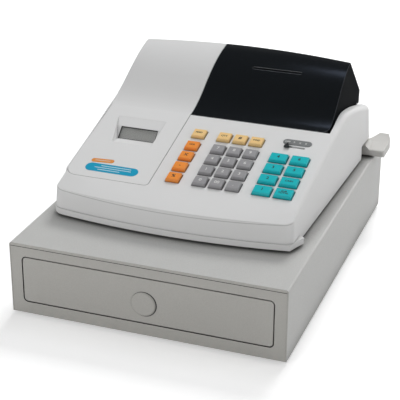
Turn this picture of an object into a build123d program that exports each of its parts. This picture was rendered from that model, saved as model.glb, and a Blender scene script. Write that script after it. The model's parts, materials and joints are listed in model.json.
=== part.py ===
from build123d import *
import os
from math import atan, cos, degrees, hypot, sin

os.makedirs("parts", exist_ok=True)

# An electronic cash register: a keyboard-and-printer head on a flat steel cash drawer.
# Millimetres. While the pieces are drawn, X = 0 is the middle of the cabinet, Y = 0 its front
# face and Z = 0 its underside; save() then moves each piece so that the origin is the centre of
# the whole register's footprint, on the table.

# ---- cabinet and drawer ----------------------------------------------------------------
cabinet_w = 325.0
cabinet_d = 430.0
cabinet_h = 87.0
sheet = 1.2
sheet_gap = 0.15
bend_r = 2.6
lip_drop = 3.4
foot_h = 4.0
foot_r = 9.0
foot_in = 24.0
front_border = 15.5
front_w = cabinet_w - 2 * front_border
front_h = 55.0
front_low = 15.4
front_gap = 1.2
front_deep = 12.0
front_corner_r = 4.5
frame_back = 0.2
plug_r = 14.5
plug_proud = 1.5
plug_barrel_r = 9.0
plug_barrel_len = 8.0
plug_x = -1.5
plug_z = 39.0
tray_side = 28.5
tray_rear = 42.0
tray_w = cabinet_w - 2 * tray_side
tray_end = cabinet_d - tray_rear
tray_low = 18.0
tray_high = 62.0
tray_sheet = 1.0
glide_h = 11.3
glide_low = 36.0
glide_reach = 13.0
rail_gap = 0.35
rail_lip = 4.5
rail_front = 20.0
rail_rear = 10.0
rail_back = cabinet_d - rail_rear
insert_gap = 0.5
insert_wall = 2.0
insert_h = 40.0
coin_len = 184.0
coin_rows = 2
bays = 4
coin_scoop_r = 16.0
clip_pin_r = 2.0
running = 0.075
clip_barrel_r = 4.0
clip_barrel_w = 17.0
clip_ear = 3.0
clip_arm_w = 12.0
clip_arm_t = 2.4
clip_reach = 92.0
clip_pivot_back = 9.0
clip_pivot_high = 35.0

# ---- drawer latch ----------------------------------------------------------------------
latch_in = 17.0
latch_y = cabinet_d - latch_in
latch_z = 40.0
latch_pin_r = 2.0
latch_arm = 20.0
latch_nose = 8.0
latch_w = 5.0

# ---- head: outer form ------------------------------------------------------------------
head_x = -2.5
pan_low = 88.2
seam_z = 97.0
form_top = 190.0
front_y = 70.0
bow = 13.0
half_width = 144.5
half_width_y = 93.0
half_width_z = 90.0
side_spread = 0.034
rear_y = 413.0
side_draft = 0.037
front_draft = 0.11
rear_draft = 0.10
front_corner = 15.0
nose_flare = 0.16
rear_corner = 18.0
wall = 2.5
pan_under = 3.6
lip_step = 1.5
lip_bend_x = 139.2
lip_tip_x = 148.3
lip_tip_y = 105.6
lip_tail = 5.0

# ---- head: deck, tower and cheeks ------------------------------------------------------
deck_slope = 0.25
deck_y = 95.0
deck_z = 126.0
crease_z = 119.8
crease_run = 14.0
crease_widen = 0.8
tower_split = -40.0
cover_front = 250.0
cover_right = 134.0
cover_corner = 11.0
seam = 0.6
skin = 2.4
ridge_y = 355.0
ridge_z = 225.0
ridge_bow_y = 9.0
ridge_bow_z = 3.0
ridge_half = 134.0
sweep_mid = (300.0, 197.0)
foot_run = (1.0, 0.3)
sweep_run = (1.0, 0.72)
ridge_run = (1.0, 0.25)
seam_lean = 0.1
tower_back_y = 404.0
tower_back_z = 167.0
tower_foot_y = 402.5
tower_foot_z = 150.0
panel_left = -144.5
panel_front = 108.5
panel_corner_left = 14.0
panel_corner_right = 5.0
lean_low = (-145.0, 172.0)
lean_high = (-134.0, 222.0)
ledge_w = 3.5
ledge_t = 2.0
tub_floor = 112.0
tub_wall = 2.2
rear_wall_top = 146.0
hinge_y = 395.0
hinge_z = 152.0
hinge_pin_r = 3.0
hinge_ear = 3.5
hinge_ear_r = 4.6

# ---- keyboard --------------------------------------------------------------------------
pitch_x = 20.0
pitch_v = 21.0
row_v = 34.0
key_rows = 4
cream_gap = 4.0
cream_v = row_v + key_rows * pitch_v + cream_gap
numeric_x = 17.7
orange_x = -14.7
teal_x = (91.7, 117.0)
key_w = 16.6
key_l = 15.6
teal_w = 21.6
key_rise = 4.0
key_sink = 2.6
key_taper = 8.0
key_gap = 0.5
key_skin = 1.6
key_stem = 5.0
stem_gap = 0.25
key_travel = 3.0
guide_depth = 13.0
guide_t = 3.0
board_t = 1.6

# ---- display and mode switch -----------------------------------------------------------
pocket_front = (176.0, 146.3)
pocket_back = (229.5, 159.6)
pocket_plan = ((-115.6, 176.0), (-61.0, 176.0), (-62.6, 229.5), (-126.4, 229.5))
pocket_lean = 10.0
window_low = (199.8, 141.8)
window_high = (214.5, 153.6)
window_left = -116.0
window_right = -68.0
window_t = 1.5
window_sink = 1.2
switch_x = 103.3
switch_v = cream_v + 1.6
switch_len = 25.0
switch_w = 3.2
knob_travel = 18.0

# ---- customer display ------------------------------------------------------------------
pod_left = 96.0
pod_right = 176.0
pod_front = 378.0
pod_low = 88.4
pod_rear = 429.0
pod_nose_z = 97.2
pod_peak = (425.0, 103.6)
arm_back = 406.0
arm_top = 102.8
arm_end = 157.0
arm_slope = 6.0
arm_r = 3.0
grip_edge_r = 2.4
grip_corner_r = 3.5
pod_axis_y = 387.0
pod_axis_z = 92.6
pod_pin_r = 2.2
pod_pin_end = 140.0
notch_front = 361.0
notch_top = 107.0
notch_left = 91.0

deck = Plane(
    origin=(0, deck_y, deck_z),
    x_dir=(1, 0, 0),
    z_dir=(0, -sin(atan(deck_slope)), cos(atan(deck_slope))),
)
on_base = (Align.CENTER, Align.CENTER, Align.MIN)
under = (Align.CENTER, Align.CENTER, Align.MAX)
overhang = pod_right - cabinet_w / 2
to_footprint = Pos(-overhang / 2, -(cabinet_d - plug_proud) / 2, foot_h)


def save(piece, label):
    """Place a finished piece on the register's footprint and write its file."""
    placed = to_footprint * piece
    placed.label = label
    export_step(placed, f"parts/{label}.step")


def deck_height(y):
    """Height of the sloping key deck at a distance from the front."""
    return deck_z + deck_slope * (y - deck_y)


def bar(x, y, z, mode=Mode.ADD):
    """A plain bar between three pairs of limits, in the part being built."""
    with Locations((sum(x) / 2, sum(y) / 2, sum(z) / 2)):
        Box(x[1] - x[0], y[1] - y[0], z[1] - z[0], mode=mode)


# ---- cabinet ---------------------------------------------------------------------------
inner_x = cabinet_w / 2 - sheet - sheet_gap
inner_top = cabinet_h - sheet - sheet_gap
frame_top = cabinet_h - lip_drop - sheet_gap
frame_flange = 14.0
chassis_hem = 16.0
rear_in = 0.8

# Folded top and sides, with the short lip that turns down over the front frame.
with BuildPart() as cabinet_wrap:
    with BuildSketch(Plane.XZ) as hoop:
        with Locations((0, cabinet_h / 2)):
            Rectangle(cabinet_w, cabinet_h)
        fillet(hoop.vertices().group_by(Axis.Y)[-1], bend_r)
        with Locations((0, (cabinet_h - sheet) / 2)):
            Rectangle(cabinet_w - 2 * sheet, cabinet_h - sheet, mode=Mode.SUBTRACT)
    extrude(amount=-cabinet_d)
    bar((-inner_x, inner_x), (0, sheet), (cabinet_h - lip_drop, cabinet_h - sheet))
save(cabinet_wrap.part, "cabinet_wrap")

# Bottom, rear and the front frame that the drawer front sits in.
with BuildPart() as cabinet_chassis:
    bar((-inner_x, inner_x), (frame_back, cabinet_d - rear_in), (0, sheet))
    bar((-inner_x, inner_x), (cabinet_d - rear_in - sheet, cabinet_d - rear_in), (0, inner_top))
    for side in (-1, 1):
        outer = side * inner_x
        hem = sorted((outer, outer - side * sheet))
        bar(hem, (frame_back, cabinet_d - rear_in), (0, chassis_hem))
        bar(hem, (frame_back, frame_flange), (0, frame_top))
    bar((-inner_x, inner_x), (frame_back, frame_flange), (frame_top - sheet, frame_top))
    with BuildSketch(Plane.XZ.offset(-frame_back)) as face:
        with Locations((0, frame_top / 2)):
            Rectangle(2 * inner_x, frame_top)
        with Locations((0, front_low + front_h / 2)):
            RectangleRounded(
                front_w + 2 * front_gap,
                front_h + 2 * front_gap,
                front_corner_r + front_gap,
                mode=Mode.SUBTRACT,
            )
    extrude(amount=-sheet)
    with Locations(*[Plane.XZ * Pos(x, 62, -cabinet_d) for x in (-120, 120)]):
        CounterSinkHole(2.0, 3.6, 6.0)
save(cabinet_chassis.part, "cabinet_chassis")

# Four identical rubber feet, dished underneath.
with BuildPart() as rubber_feet:
    foot_x = cabinet_w / 2 - foot_in
    feet = [(x, y, -foot_h) for x in (-foot_x, foot_x) for y in (foot_in, cabinet_d - foot_in)]
    with Locations(*feet):
        Cone(foot_r - 1.2, foot_r, foot_h, align=on_base)
        Cylinder(
            foot_r / 2,
            1.0,
            align=on_base,
            mode=Mode.SUBTRACT,
        )
save(rubber_feet.part, "rubber_feet")

# Two channels that carry the drawer, each standing on a foot flange along the bottom plate.
rail_t = 1.6
rail_web = tray_w / 2 + glide_reach + rail_gap
rail_foot = 10.0
channel_low = glide_low - rail_gap
channel_high = glide_low + glide_h + rail_gap
with BuildPart() as cabinet_rails:
    for side in (-1, 1):
        with BuildSketch(Plane.XZ.offset(-rail_front)):
            with BuildLine():
                web_in = side * rail_web
                web_out = side * (rail_web + rail_t)
                reach = side * (rail_web - glide_reach + rail_lip)
                toe = side * (rail_web + rail_foot)
                Polyline(
                    (web_in, sheet),
                    (toe, sheet),
                    (toe, sheet + rail_t),
                    (web_out, sheet + rail_t),
                    (web_out, channel_high + rail_t),
                    (reach, channel_high + rail_t),
                    (reach, channel_high),
                    (web_in, channel_high),
                    (web_in, channel_low),
                    (reach, channel_low),
                    (reach, channel_low - rail_t),
                    (web_in, channel_low - rail_t),
                    close=True,
                )
            make_face()
        extrude(amount=-(rail_back - rail_front))
save(cabinet_rails.part, "cabinet_rails")

# ---- drawer ----------------------------------------------------------------------------
tray_front = front_deep

# Shallow steel pan closing the front, with a round boss hole for the blank lock plug.
with BuildPart() as drawer_front:
    with BuildSketch(Plane.XZ):
        with Locations((0, front_low + front_h / 2)):
            RectangleRounded(front_w, front_h, front_corner_r)
    extrude(amount=-front_deep)
    fillet(drawer_front.faces().sort_by(Axis.Y)[0].edges(), 0.8)
    with BuildSketch(Plane.XZ.offset(-front_deep)):
        with Locations((0, front_low + front_h / 2)):
            RectangleRounded(front_w - 4 * sheet, front_h - 4 * sheet, front_corner_r - sheet)
    extrude(amount=front_deep - 2 * sheet, mode=Mode.SUBTRACT)
    bar((-60, 60), (2 * sheet, front_deep), (front_low + sheet, front_low + 2 * sheet))
    with Locations(Plane.XZ * Pos(plug_x, plug_z, 0)):
        Cylinder(plug_barrel_r + running, 4 * front_deep, mode=Mode.SUBTRACT)
save(drawer_front.part, "drawer_front")

# Blank plug in the lock position: domed cap, barrel and snap ring.
with BuildPart() as lock_plug:
    with BuildSketch(Plane.XY):
        with BuildLine():
            Polyline(
                (0, -plug_proud),
                (plug_r - 1.5, -plug_proud),
                (plug_r, -0.3),
                (plug_r, 0),
                (plug_barrel_r, 0),
                (plug_barrel_r, plug_barrel_len),
                (plug_barrel_r - 2, plug_barrel_len),
                (plug_barrel_r - 2, 2),
                (0, 2),
                close=True,
            )
        make_face()
    revolve(axis=Axis.Y)
save(Pos(plug_x, 0, plug_z) * lock_plug.part, "lock_plug")

# Sheet-steel drawer body with hollow runners along both sides and a striker at the rear.
striker_w = 30.0
striker_len = 11.0
with BuildPart() as drawer_tray:
    half = tray_w / 2
    bar((-half, half), (tray_front, tray_end), (tray_low, tray_high))
    bar(
        (-half + tray_sheet, half - tray_sheet),
        (tray_front + tray_sheet, tray_end - tray_sheet),
        (tray_low + tray_sheet, tray_high + 1),
        mode=Mode.SUBTRACT,
    )
    for side in (-1, 1):
        runner = sorted((side * half, side * (half + glide_reach)))
        hollow = sorted((side * half, side * (half + glide_reach - 2 * tray_sheet)))
        bar(runner, (rail_front + 4, tray_end), (glide_low, glide_low + glide_h))
        bar(
            hollow,
            (rail_front, tray_end + 1),
            (glide_low + 1.5 * tray_sheet, glide_low + glide_h - 1.5 * tray_sheet),
            mode=Mode.SUBTRACT,
        )
    bar(
        (-striker_w / 2, striker_w / 2),
        (tray_end, tray_end + striker_len),
        (latch_z - latch_nose - 6, latch_z - latch_nose - 4),
    )
save(drawer_tray.part, "drawer_tray")

# Moulded coin tray: scooped cups in rows across the front of the drawer.
insert_x = tray_w / 2 - tray_sheet - insert_gap
insert_low = tray_low + tray_sheet
insert_front = tray_front + tray_sheet + insert_gap
bay_w = (2 * insert_x - (bays + 1) * insert_wall) / bays
bay_x = [(i - (bays - 1) / 2) * (bay_w + insert_wall) for i in range(bays)]
cup_len = (coin_len - (coin_rows + 1) * insert_wall) / coin_rows
cup_y = [
    insert_front + insert_wall + cup_len / 2 + row * (cup_len + insert_wall)
    for row in range(coin_rows)
]
with BuildPart() as coin_tray:
    bar(
        (-insert_x, insert_x),
        (insert_front, insert_front + coin_len),
        (insert_low, insert_low + insert_h),
    )
    for y in cup_y:
        with BuildSketch(Plane.YZ.offset(-insert_x)) as scoop:
            with Locations((y, insert_low + insert_wall + insert_h / 2)):
                Rectangle(cup_len, insert_h)
            fillet(scoop.vertices().group_by(Axis.Y)[0], coin_scoop_r)
        for x in bay_x:
            near = x - bay_w / 2
            extrude(
                scoop.sketch.moved(Pos(near + insert_x, 0, 0)),
                amount=bay_w,
                mode=Mode.SUBTRACT,
            )
save(coin_tray.part, "coin_tray")

# Moulded note tray behind it: long compartments with a pair of ears and a pin for each clip.
note_front = insert_front + coin_len + insert_gap
note_end = tray_end - tray_sheet - insert_gap
clip_y = note_end - insert_wall - clip_pivot_back
clip_z = insert_low + clip_pivot_high
ear_gap = 0.4
with BuildPart() as note_tray:
    bar((-insert_x, insert_x), (note_front, note_end), (insert_low, insert_low + insert_h))
    for x in bay_x:
        bar(
            (x - bay_w / 2, x + bay_w / 2),
            (note_front + insert_wall, note_end - insert_wall),
            (insert_low + insert_wall, insert_low + insert_h + 1),
            mode=Mode.SUBTRACT,
        )
        for side in (-1, 1):
            ear_x = x + side * (clip_barrel_w / 2 + ear_gap + clip_ear / 2)
            with BuildSketch(Plane.YZ.offset(ear_x)) as ear:
                with BuildLine():
                    Polyline(
                        (note_end - insert_wall, clip_z + 4),
                        (clip_y - 4, clip_z + 4),
                        (clip_y - 4, clip_z - 4),
                        (note_end - insert_wall, clip_z - 14),
                        close=True,
                    )
                make_face()
            extrude(ear.sketch, amount=clip_ear / 2, both=True)
        with Locations(Plane.YZ * Pos(clip_y, clip_z, x)):
            Cylinder(clip_pin_r, clip_barrel_w + 2 * clip_ear)
save(note_tray.part, "note_tray")

# Sprung clip: barrel on the pin, bowed arm and an upturned nose resting on the notes.
clip_low = insert_low + insert_wall + 0.3
with BuildPart() as note_clip:
    with BuildSketch(Plane.YZ):
        with BuildLine():
            top = Spline(
                (clip_y - 1, clip_z + clip_barrel_r - 0.4),
                (clip_y - 0.45 * clip_reach, clip_z - 12),
                (clip_y - 0.9 * clip_reach, clip_low + clip_arm_t),
                (clip_y - clip_reach, clip_low + clip_arm_t + 1.8),
                tangents=((-1, -0.05), (-1, 0.6)),
            )
            low = Spline(
                (clip_y - clip_reach + 1, clip_low + 1.8),
                (clip_y - 0.9 * clip_reach, clip_low),
                (clip_y - 0.45 * clip_reach, clip_z - 12 - clip_arm_t),
                (clip_y - 2, clip_z - clip_barrel_r + 0.9),
                tangents=((1, -0.6), (1, 0.6)),
            )
            Line(top @ 1, low @ 0)
            Line(low @ 1, top @ 0)
        make_face()
    extrude(amount=clip_arm_w / 2, both=True)
    with Locations(Plane.YZ * Pos(clip_y, clip_z, 0)):
        Cylinder(clip_barrel_r, clip_barrel_w)
        Cylinder(clip_pin_r + running, 2 * clip_barrel_w, mode=Mode.SUBTRACT)
for number, x in enumerate(bay_x, 1):
    save(Pos(x, 0, 0) * note_clip.part, f"note_clip_{number}")

# ---- latch -----------------------------------------------------------------------------
rear_face = cabinet_d - rear_in - sheet
solenoid_w = 26.0
latch_cheek = 4.0
cheek_in = latch_w / 2 + 0.3

# Release solenoid: coil can on a bracket from the rear plate, with the hook's pivot pin.
with BuildPart() as latch_solenoid:
    bar(
        (-solenoid_w / 2, solenoid_w / 2),
        (latch_y - 1, rear_face),
        (latch_z + 7, latch_z + 31),
    )
    for side in (-1, 1):
        cheek = sorted((side * cheek_in, side * (cheek_in + latch_cheek)))
        bar(cheek, (latch_y - 5, rear_face), (latch_z - 5, latch_z + 8))
    with Locations(Plane.YZ * Pos(latch_y, latch_z, 0)):
        Cylinder(latch_pin_r, 2 * cheek_in + latch_cheek)
    with Locations(Plane.XY * Pos(0, (latch_y + rear_face) / 2, latch_z + 31)):
        Cylinder(5.5, 3.0, align=on_base)
save(latch_solenoid.part, "latch_solenoid")

# Hook that drops behind the drawer's striker; drawn lifted clear of it.
with BuildPart() as latch_hook:
    with BuildSketch(Plane.YZ):
        with BuildLine():
            Polyline(
                (latch_y + 4.5, latch_z - 4),
                (latch_y + 4.5, latch_z + 4),
                (latch_y - 4, latch_z + 4),
                (latch_y - latch_arm, latch_z + 1),
                (latch_y - latch_arm - 3, latch_z - latch_nose + 5),
                (latch_y - latch_arm + 2, latch_z - latch_nose - 2),
                (latch_y - latch_arm + 4, latch_z - 4),
                close=True,
            )
        make_face()
    extrude(amount=latch_w / 2, both=True)
    with Locations(Plane.YZ * Pos(latch_y, latch_z, 0)):
        Cylinder(latch_pin_r + running, 4 * latch_w, mode=Mode.SUBTRACT)
save(latch_hook.part, "latch_hook")


# ---- head ------------------------------------------------------------------------------
side_reach = 200.0
cheek_start = 246.0
cheek_crest_y = 291.0
cheek_crest_z = 173.0
cheek_end_y = 395.0
cheek_end_z = 150.7
cheek_rise = (0.42, 0.395)
cheek_drop = ((0.26, 0.108), (0.49, 0.336), (0.72, 0.628), (1.0, 1.0))
cheek_fall = -0.28
wall_end = 450.0
edge_r = 6.0


def half_at(y, z):
    """Half the head's width: the walls spread to the rear and draft inwards going up."""
    return half_width + side_spread * (y - half_width_y) - side_draft * (z - half_width_z)


def walls_plan(z, inset=0.0):
    """Plan of the side and rear walls at a height, open-ended towards the front."""
    rear = rear_y - rear_draft * (z - seam_z) - inset
    near = half_at(0, z) - inset
    far = half_at(rear, z) - inset
    with BuildSketch(Plane.XY.offset(z)) as plan:
        with BuildLine():
            Polyline(
                (head_x - near, 0),
                (head_x + near, 0),
                (head_x + far, rear),
                (head_x - far, rear),
                close=True,
            )
        make_face()
        fillet(plan.vertices().group_by(Axis.Y)[-1], rear_corner - inset)
    return plan.sketch


def nose_plan(z, inset=0.0):
    """Plan of the bowed front and its rounded corners, running out past the side walls."""
    front = front_y + front_draft * (z - seam_z) + inset
    corner = front + bow
    near = half_at(corner, z) - inset
    wide = near + nose_flare * (wall_end - corner)
    with BuildSketch(Plane.XY.offset(z)) as plan:
        with BuildLine():
            ThreePointArc((head_x - near, corner), (head_x, front), (head_x + near, corner))
            Polyline(
                (head_x + near, corner),
                (head_x + wide, wall_end),
                (head_x - wide, wall_end),
                (head_x - near, corner),
            )
        make_face()
        fillet(plan.vertices().group_by(Axis.Y)[0], front_corner - inset)
    return plan.sketch


def cheek_line():
    """Points along the top of the cheeks: up to their crest, then down to the rear."""
    rise = cheek_crest_z - deck_height(cheek_start)
    run = cheek_crest_y - cheek_start
    yield cheek_start + cheek_rise[0] * run, cheek_crest_z - (1 - cheek_rise[1]) * rise
    yield cheek_crest_y, cheek_crest_z
    for along, down in cheek_drop:
        y = cheek_crest_y + along * (cheek_end_y - cheek_crest_y)
        yield y, cheek_crest_z - down * (cheek_crest_z - cheek_end_z)


def head_side(inset=0.0):
    """Side view under the head's top: the key deck, then the cheeks beside the tower."""
    drop = inset / cos(atan(deck_slope))
    bend = (cheek_start, deck_height(cheek_start) - drop)
    with BuildSketch(Plane.YZ.offset(-side_reach)) as side:
        with BuildLine():
            Line((0, deck_height(0) - drop), bend)
            cheek = Spline(
                bend,
                *[(y, z - inset) for y, z in cheek_line()],
                tangents=((1, deck_slope), (1, cheek_fall)),
            )
            end = cheek @ 1
            Polyline(
                end,
                (wall_end, end.Y + cheek_fall * (wall_end - end.X)),
                (wall_end, 0),
                (0, 0),
                (0, deck_height(0) - drop),
            )
        make_face()
    return side.sketch


def head_form(low, inset=0.0):
    """Solid form of the head from a height up to its top, drafted on all four walls."""
    with BuildPart() as form:
        loft([walls_plan(low, inset), walls_plan(form_top, inset)], ruled=True)
        extrude(head_side(inset), amount=2 * side_reach, mode=Mode.INTERSECT)
        if not inset:
            level = form.edges().filter_by(lambda e: abs(e.tangent_at(0.5).Z) < 0.7)
            tops = level.filter_by(lambda e: e.center().Z > low + edge_r / 2)
            fillet(tops.filter_by(lambda e: abs(e.center().X - head_x) > half_width / 2), edge_r)
        with BuildPart(mode=Mode.PRIVATE) as nose:
            loft([nose_plan(low - 1, inset), nose_plan(form_top, inset)], ruled=True)
        add(nose.part, mode=Mode.INTERSECT)
    return form.part


def front_roll(drop=0.0):
    """Everything above the slope that leads from the front crease up to the deck."""
    cuts = []
    for x in (-170, -120, -60, 0, 60, 120, 170):
        back = bow * ((x - head_x) / half_width) ** 2
        y = front_y + front_draft * (crease_z - seam_z) + back
        run = crease_run + back * crease_widen
        with BuildSketch(Plane.YZ.offset(x)) as cut:
            with BuildLine():
                Polyline(
                    (y - 20, crease_z - drop - 20 * deck_slope),
                    (y, crease_z - drop),
                    (y + run, deck_height(y + run) - drop),
                    (y + run, form_top),
                    (y - 20, form_top),
                    close=True,
                )
            make_face()
        cuts.append(cut.sketch)
    with BuildPart() as roll:
        loft(cuts)
    return roll.part


def head_solid(low, inset=0.0):
    """The head's form with its front roll, or the same form a wall further in."""
    with BuildPart() as solid:
        add(head_form(low, inset))
        add(front_roll(inset), mode=Mode.SUBTRACT)
    return solid.part


def on_deck(x, v, depth=0.0):
    """Place on the key deck: X, distance up the slope and depth below the surface."""
    return deck * Pos(x, v, -depth)


def key_layout():
    """Name, X, distance up the slope and width of every key."""
    rows = [row_v + pitch_v * i for i in range(key_rows)]
    for i, v in enumerate(rows, 1):
        yield f"key_function_{i}", orange_x, v, key_w
    yield "key_feed", orange_x, cream_v, key_w
    for i, v in enumerate(rows):
        for j in range(3):
            yield f"key_digit_{3 * i + j + 1}", numeric_x + pitch_x * j, v, key_w
    for j in range(3):
        yield f"key_menu_{j + 1}", numeric_x - 0.6 + pitch_x * j, cream_v, key_w
    for i, v in enumerate(rows):
        for j, x in enumerate(teal_x):
            yield f"key_department_{2 * i + j + 1}", x, v, teal_w


def inner_corner(corner, arriving, leaving, inset):
    """Where two walls that meet at a corner of a slice meet again, further in."""
    first = Vector(*arriving).normalized()
    second = Vector(*leaving).normalized()
    inward = Vector(first.Y + second.Y, -first.X - second.X)
    shift = inward * (2 * inset / inward.dot(inward))
    return (corner[0] + shift.X, corner[1] + shift.Y)


def tower_slice(x, start, depth, low, inset=0.0):
    """Slice of the tower at one station: deck line, swept front, bowed ridge and back."""
    across = ((x - head_x) / ridge_half) ** 2
    ridge = (ridge_y - ridge_bow_y * across, ridge_z - ridge_bow_z * across)
    foot = (cover_front, deck_height(cover_front))
    back = (tower_back_y, tower_back_z)
    rear_slope = (back[0] - ridge[0], back[1] - ridge[1])
    upright = (tower_foot_y - back[0], tower_foot_z - back[1])
    along_deck = (1, deck_slope)
    foot = inner_corner(foot, along_deck, along_deck, inset)
    mid = inner_corner(sweep_mid, sweep_run, sweep_run, inset)
    ridge = inner_corner(ridge, ridge_run, rear_slope, inset)
    back = inner_corner(back, rear_slope, upright, inset)
    begin = (start, foot[1] - deck_slope * (foot[0] - start))
    with BuildSketch(Plane.YZ.offset(x)) as cut:
        with BuildLine():
            Line(begin, foot)
            Spline(foot, mid, ridge, tangents=(foot_run, ridge_run))
            Polyline(
                ridge,
                back,
                (tower_foot_y - inset, low),
                (foot[0] + 4, foot[1] + 4 * deck_slope - depth),
                (begin[0], begin[1] - depth),
                begin,
            )
        make_face()
    return cut.sketch


def seam_x(y, gap=0.0):
    """The parting line between the display panel and the printer cover, in plan."""
    return tower_split + seam_lean * max(0.0, y - cover_front) + gap


def tower_form(stations, start, depth, low, plan, inset=0.0):
    """Lofted tower between stations, trimmed to a plan outline."""
    with BuildPart() as form:
        loft([tower_slice(x, start, depth, low, inset) for x in stations])
        extrude(plan, amount=2 * form_top, mode=Mode.INTERSECT)
    return form.part


rim_depth = 5.0
panel_low = 146.0
cover_low = 150.0
cover_rim = 4.0


def panel_plan(inset=0.0):
    """Plan outline of the display panel, rounded at its two front corners."""
    back = tower_back_y + 6
    with BuildSketch(Plane.XY) as plan:
        with BuildLine():
            Polyline(
                (panel_left, panel_front),
                (tower_split, panel_front),
                (tower_split, cover_front),
                (seam_x(back), back),
                (panel_left, back),
                close=True,
            )
        make_face()
        low_corners = plan.vertices().group_by(Axis.Y)[0].sort_by(Axis.X)
        fillet(low_corners[0], panel_corner_left)
        fillet(plan.vertices().group_by(Axis.Y)[0].sort_by(Axis.X)[-1], panel_corner_right)
        if inset:
            offset(amount=-inset, kind=Kind.INTERSECTION, mode=Mode.REPLACE)
    return plan.sketch


def cover_plan(inset=0.0):
    """Plan outline of the printer cover, rounded at its front right corner."""
    back = tower_back_y + 6
    with BuildSketch(Plane.XY) as plan:
        with BuildLine():
            Polyline(
                (seam_x(cover_front, seam), cover_front + seam),
                (cover_right, cover_front + seam),
                (cover_right, back),
                (seam_x(back, seam), back),
                close=True,
            )
        make_face()
        fillet(plan.vertices().group_by(Axis.Y)[0].sort_by(Axis.X)[-1], cover_corner)
        if inset:
            offset(amount=-inset, kind=Kind.INTERSECTION, mode=Mode.REPLACE)
    return plan.sketch


def cover_underside():
    """Plan region under the cover's left edge, open towards the display panel."""
    with BuildSketch(Plane.XY) as region:
        with Locations((tower_split, cover_front + seam + skin)):
            Rectangle(
                -2 * tower_split,
                tower_back_y - skin - cover_front - seam - skin,
                align=(Align.CENTER, Align.MIN),
            )
    return region.sketch


def lean_plane(inset=0.0):
    """The leaning left face of the tower."""
    run = lean_high[0] - lean_low[0]
    rise = lean_high[1] - lean_low[1]
    normal = Vector(rise, 0, -run).normalized()
    origin = Vector(lean_low[0], 0, lean_low[1]) + normal * inset
    return Plane(origin=origin, x_dir=(0, 1, 0), z_dir=normal)


def pocket(grow=0.0):
    """The display recess: ledge, inclined window face and ramp, with drafted sides."""
    with BuildPart() as tool:
        with BuildSketch(Plane.YZ) as profile:
            with BuildLine():
                Polyline(
                    (pocket_front[0] - grow, pocket_front[1] - grow),
                    (window_low[0] + grow / 2, window_low[1] - grow),
                    (window_high[0] + grow / 2, window_high[1] - grow),
                    (pocket_back[0] + grow, pocket_back[1] - grow / 2),
                    (pocket_back[0] + grow, form_top),
                    (pocket_front[0] - grow, form_top),
                    close=True,
                )
            make_face()
        extrude(amount=200, both=True)
        with BuildSketch(Plane.XY.offset(pocket_back[1] + 2)) as plan:
            with BuildLine():
                Polyline(*pocket_plan, close=True)
            make_face()
            if grow:
                offset(amount=grow, kind=Kind.INTERSECTION, mode=Mode.REPLACE)
        extrude(plan.sketch, amount=-60, taper=pocket_lean, mode=Mode.INTERSECT)
    return tool.part


# Face of the display window, leaning back from the ledge.
window_rise = hypot(window_high[0] - window_low[0], window_high[1] - window_low[1])
window_slope = (window_high[1] - window_low[1]) / (window_high[0] - window_low[0])
window_face = Plane(
    origin=((window_left + window_right) / 2, window_low[0], window_low[1]),
    x_dir=(1, 0, 0),
    z_dir=(0, -window_slope, 1),
)
window_w = window_right - window_left
window_edge = 0.8

# Upper housing: drafted shell with the key deck, cheeks, printer bay and rear shelf.
cheek_in = cover_right + 2.0
bay_left = tower_split + 3.0
bay_front = cover_front + seam + ledge_w
bay_back = hinge_y - 0.5
bay_top = 145.0
shelf_y = 388.0
shelf_t = 2.2
collar_t = 1.8
ear_x = (-14.0, 122.0)
ear_space = 0.4
plate_len = 34.6
plate_w = 9.9
plate_v = switch_v + 8.9
plate_t = 0.6


def deck_slab(depth, y):
    """Slab between two depths under the deck, across the whole head."""
    with BuildPart() as slab:
        with BuildSketch(Plane.YZ.offset(-side_reach)):
            with BuildLine():
                Polyline(
                    (y[0], deck_height(y[0]) - depth[0]),
                    (y[1], deck_height(y[1]) - depth[0]),
                    (y[1], deck_height(y[1]) - depth[1]),
                    (y[0], deck_height(y[0]) - depth[1]),
                    close=True,
                )
            make_face()
        extrude(amount=2 * side_reach)
    return slab.part


def panel_collar():
    """Upstand and ledge that seat the display panel in its opening in the deck."""
    with BuildPart() as collar:
        extrude(panel_plan(-seam - collar_t), amount=form_top)
        extrude(panel_plan(-seam), amount=form_top, mode=Mode.SUBTRACT)
        add(deck_slab((wall / 2, rim_depth + ledge_t), (0, cover_front)), mode=Mode.INTERSECT)
    with BuildPart() as ledge:
        extrude(panel_plan(-seam - collar_t / 2), amount=form_top)
        extrude(panel_plan(ledge_w), amount=form_top, mode=Mode.SUBTRACT)
        depths = (rim_depth, rim_depth + ledge_t)
        add(deck_slab(depths, (0, cover_front)), mode=Mode.INTERSECT)
    return collar.part + ledge.part


def pod_notch(grow=0.0):
    """The rear right corner of the head, left open for the customer display."""
    size = (side_reach, side_reach, notch_top + grow)
    with BuildPart() as notch:
        with Locations((notch_left - grow, notch_front - grow, 0)):
            Box(*size, align=(Align.MIN, Align.MIN, Align.MIN))
    return notch.part


def front_half():
    """Plan region of the deck in front of the tower."""
    with BuildSketch(Plane.XY) as region:
        with Locations((0, cover_front / 2)):
            Rectangle(2 * side_reach, cover_front)
    return region.sketch


def hinge_lug(x, width, reach):
    """One hinge lug on the printer cover's axis, with an arm down to a reach point."""
    with BuildPart() as lug:
        with Locations(Plane.YZ.offset(x) * Pos(hinge_y, hinge_z, 0)):
            Cylinder(
                hinge_ear_r,
                width,
                align=on_base,
            )
        with BuildSketch(Plane.YZ.offset(x)):
            with BuildLine():
                Polyline(*reach, close=True)
            make_face()
        extrude(amount=width)
    return lug.part


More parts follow.
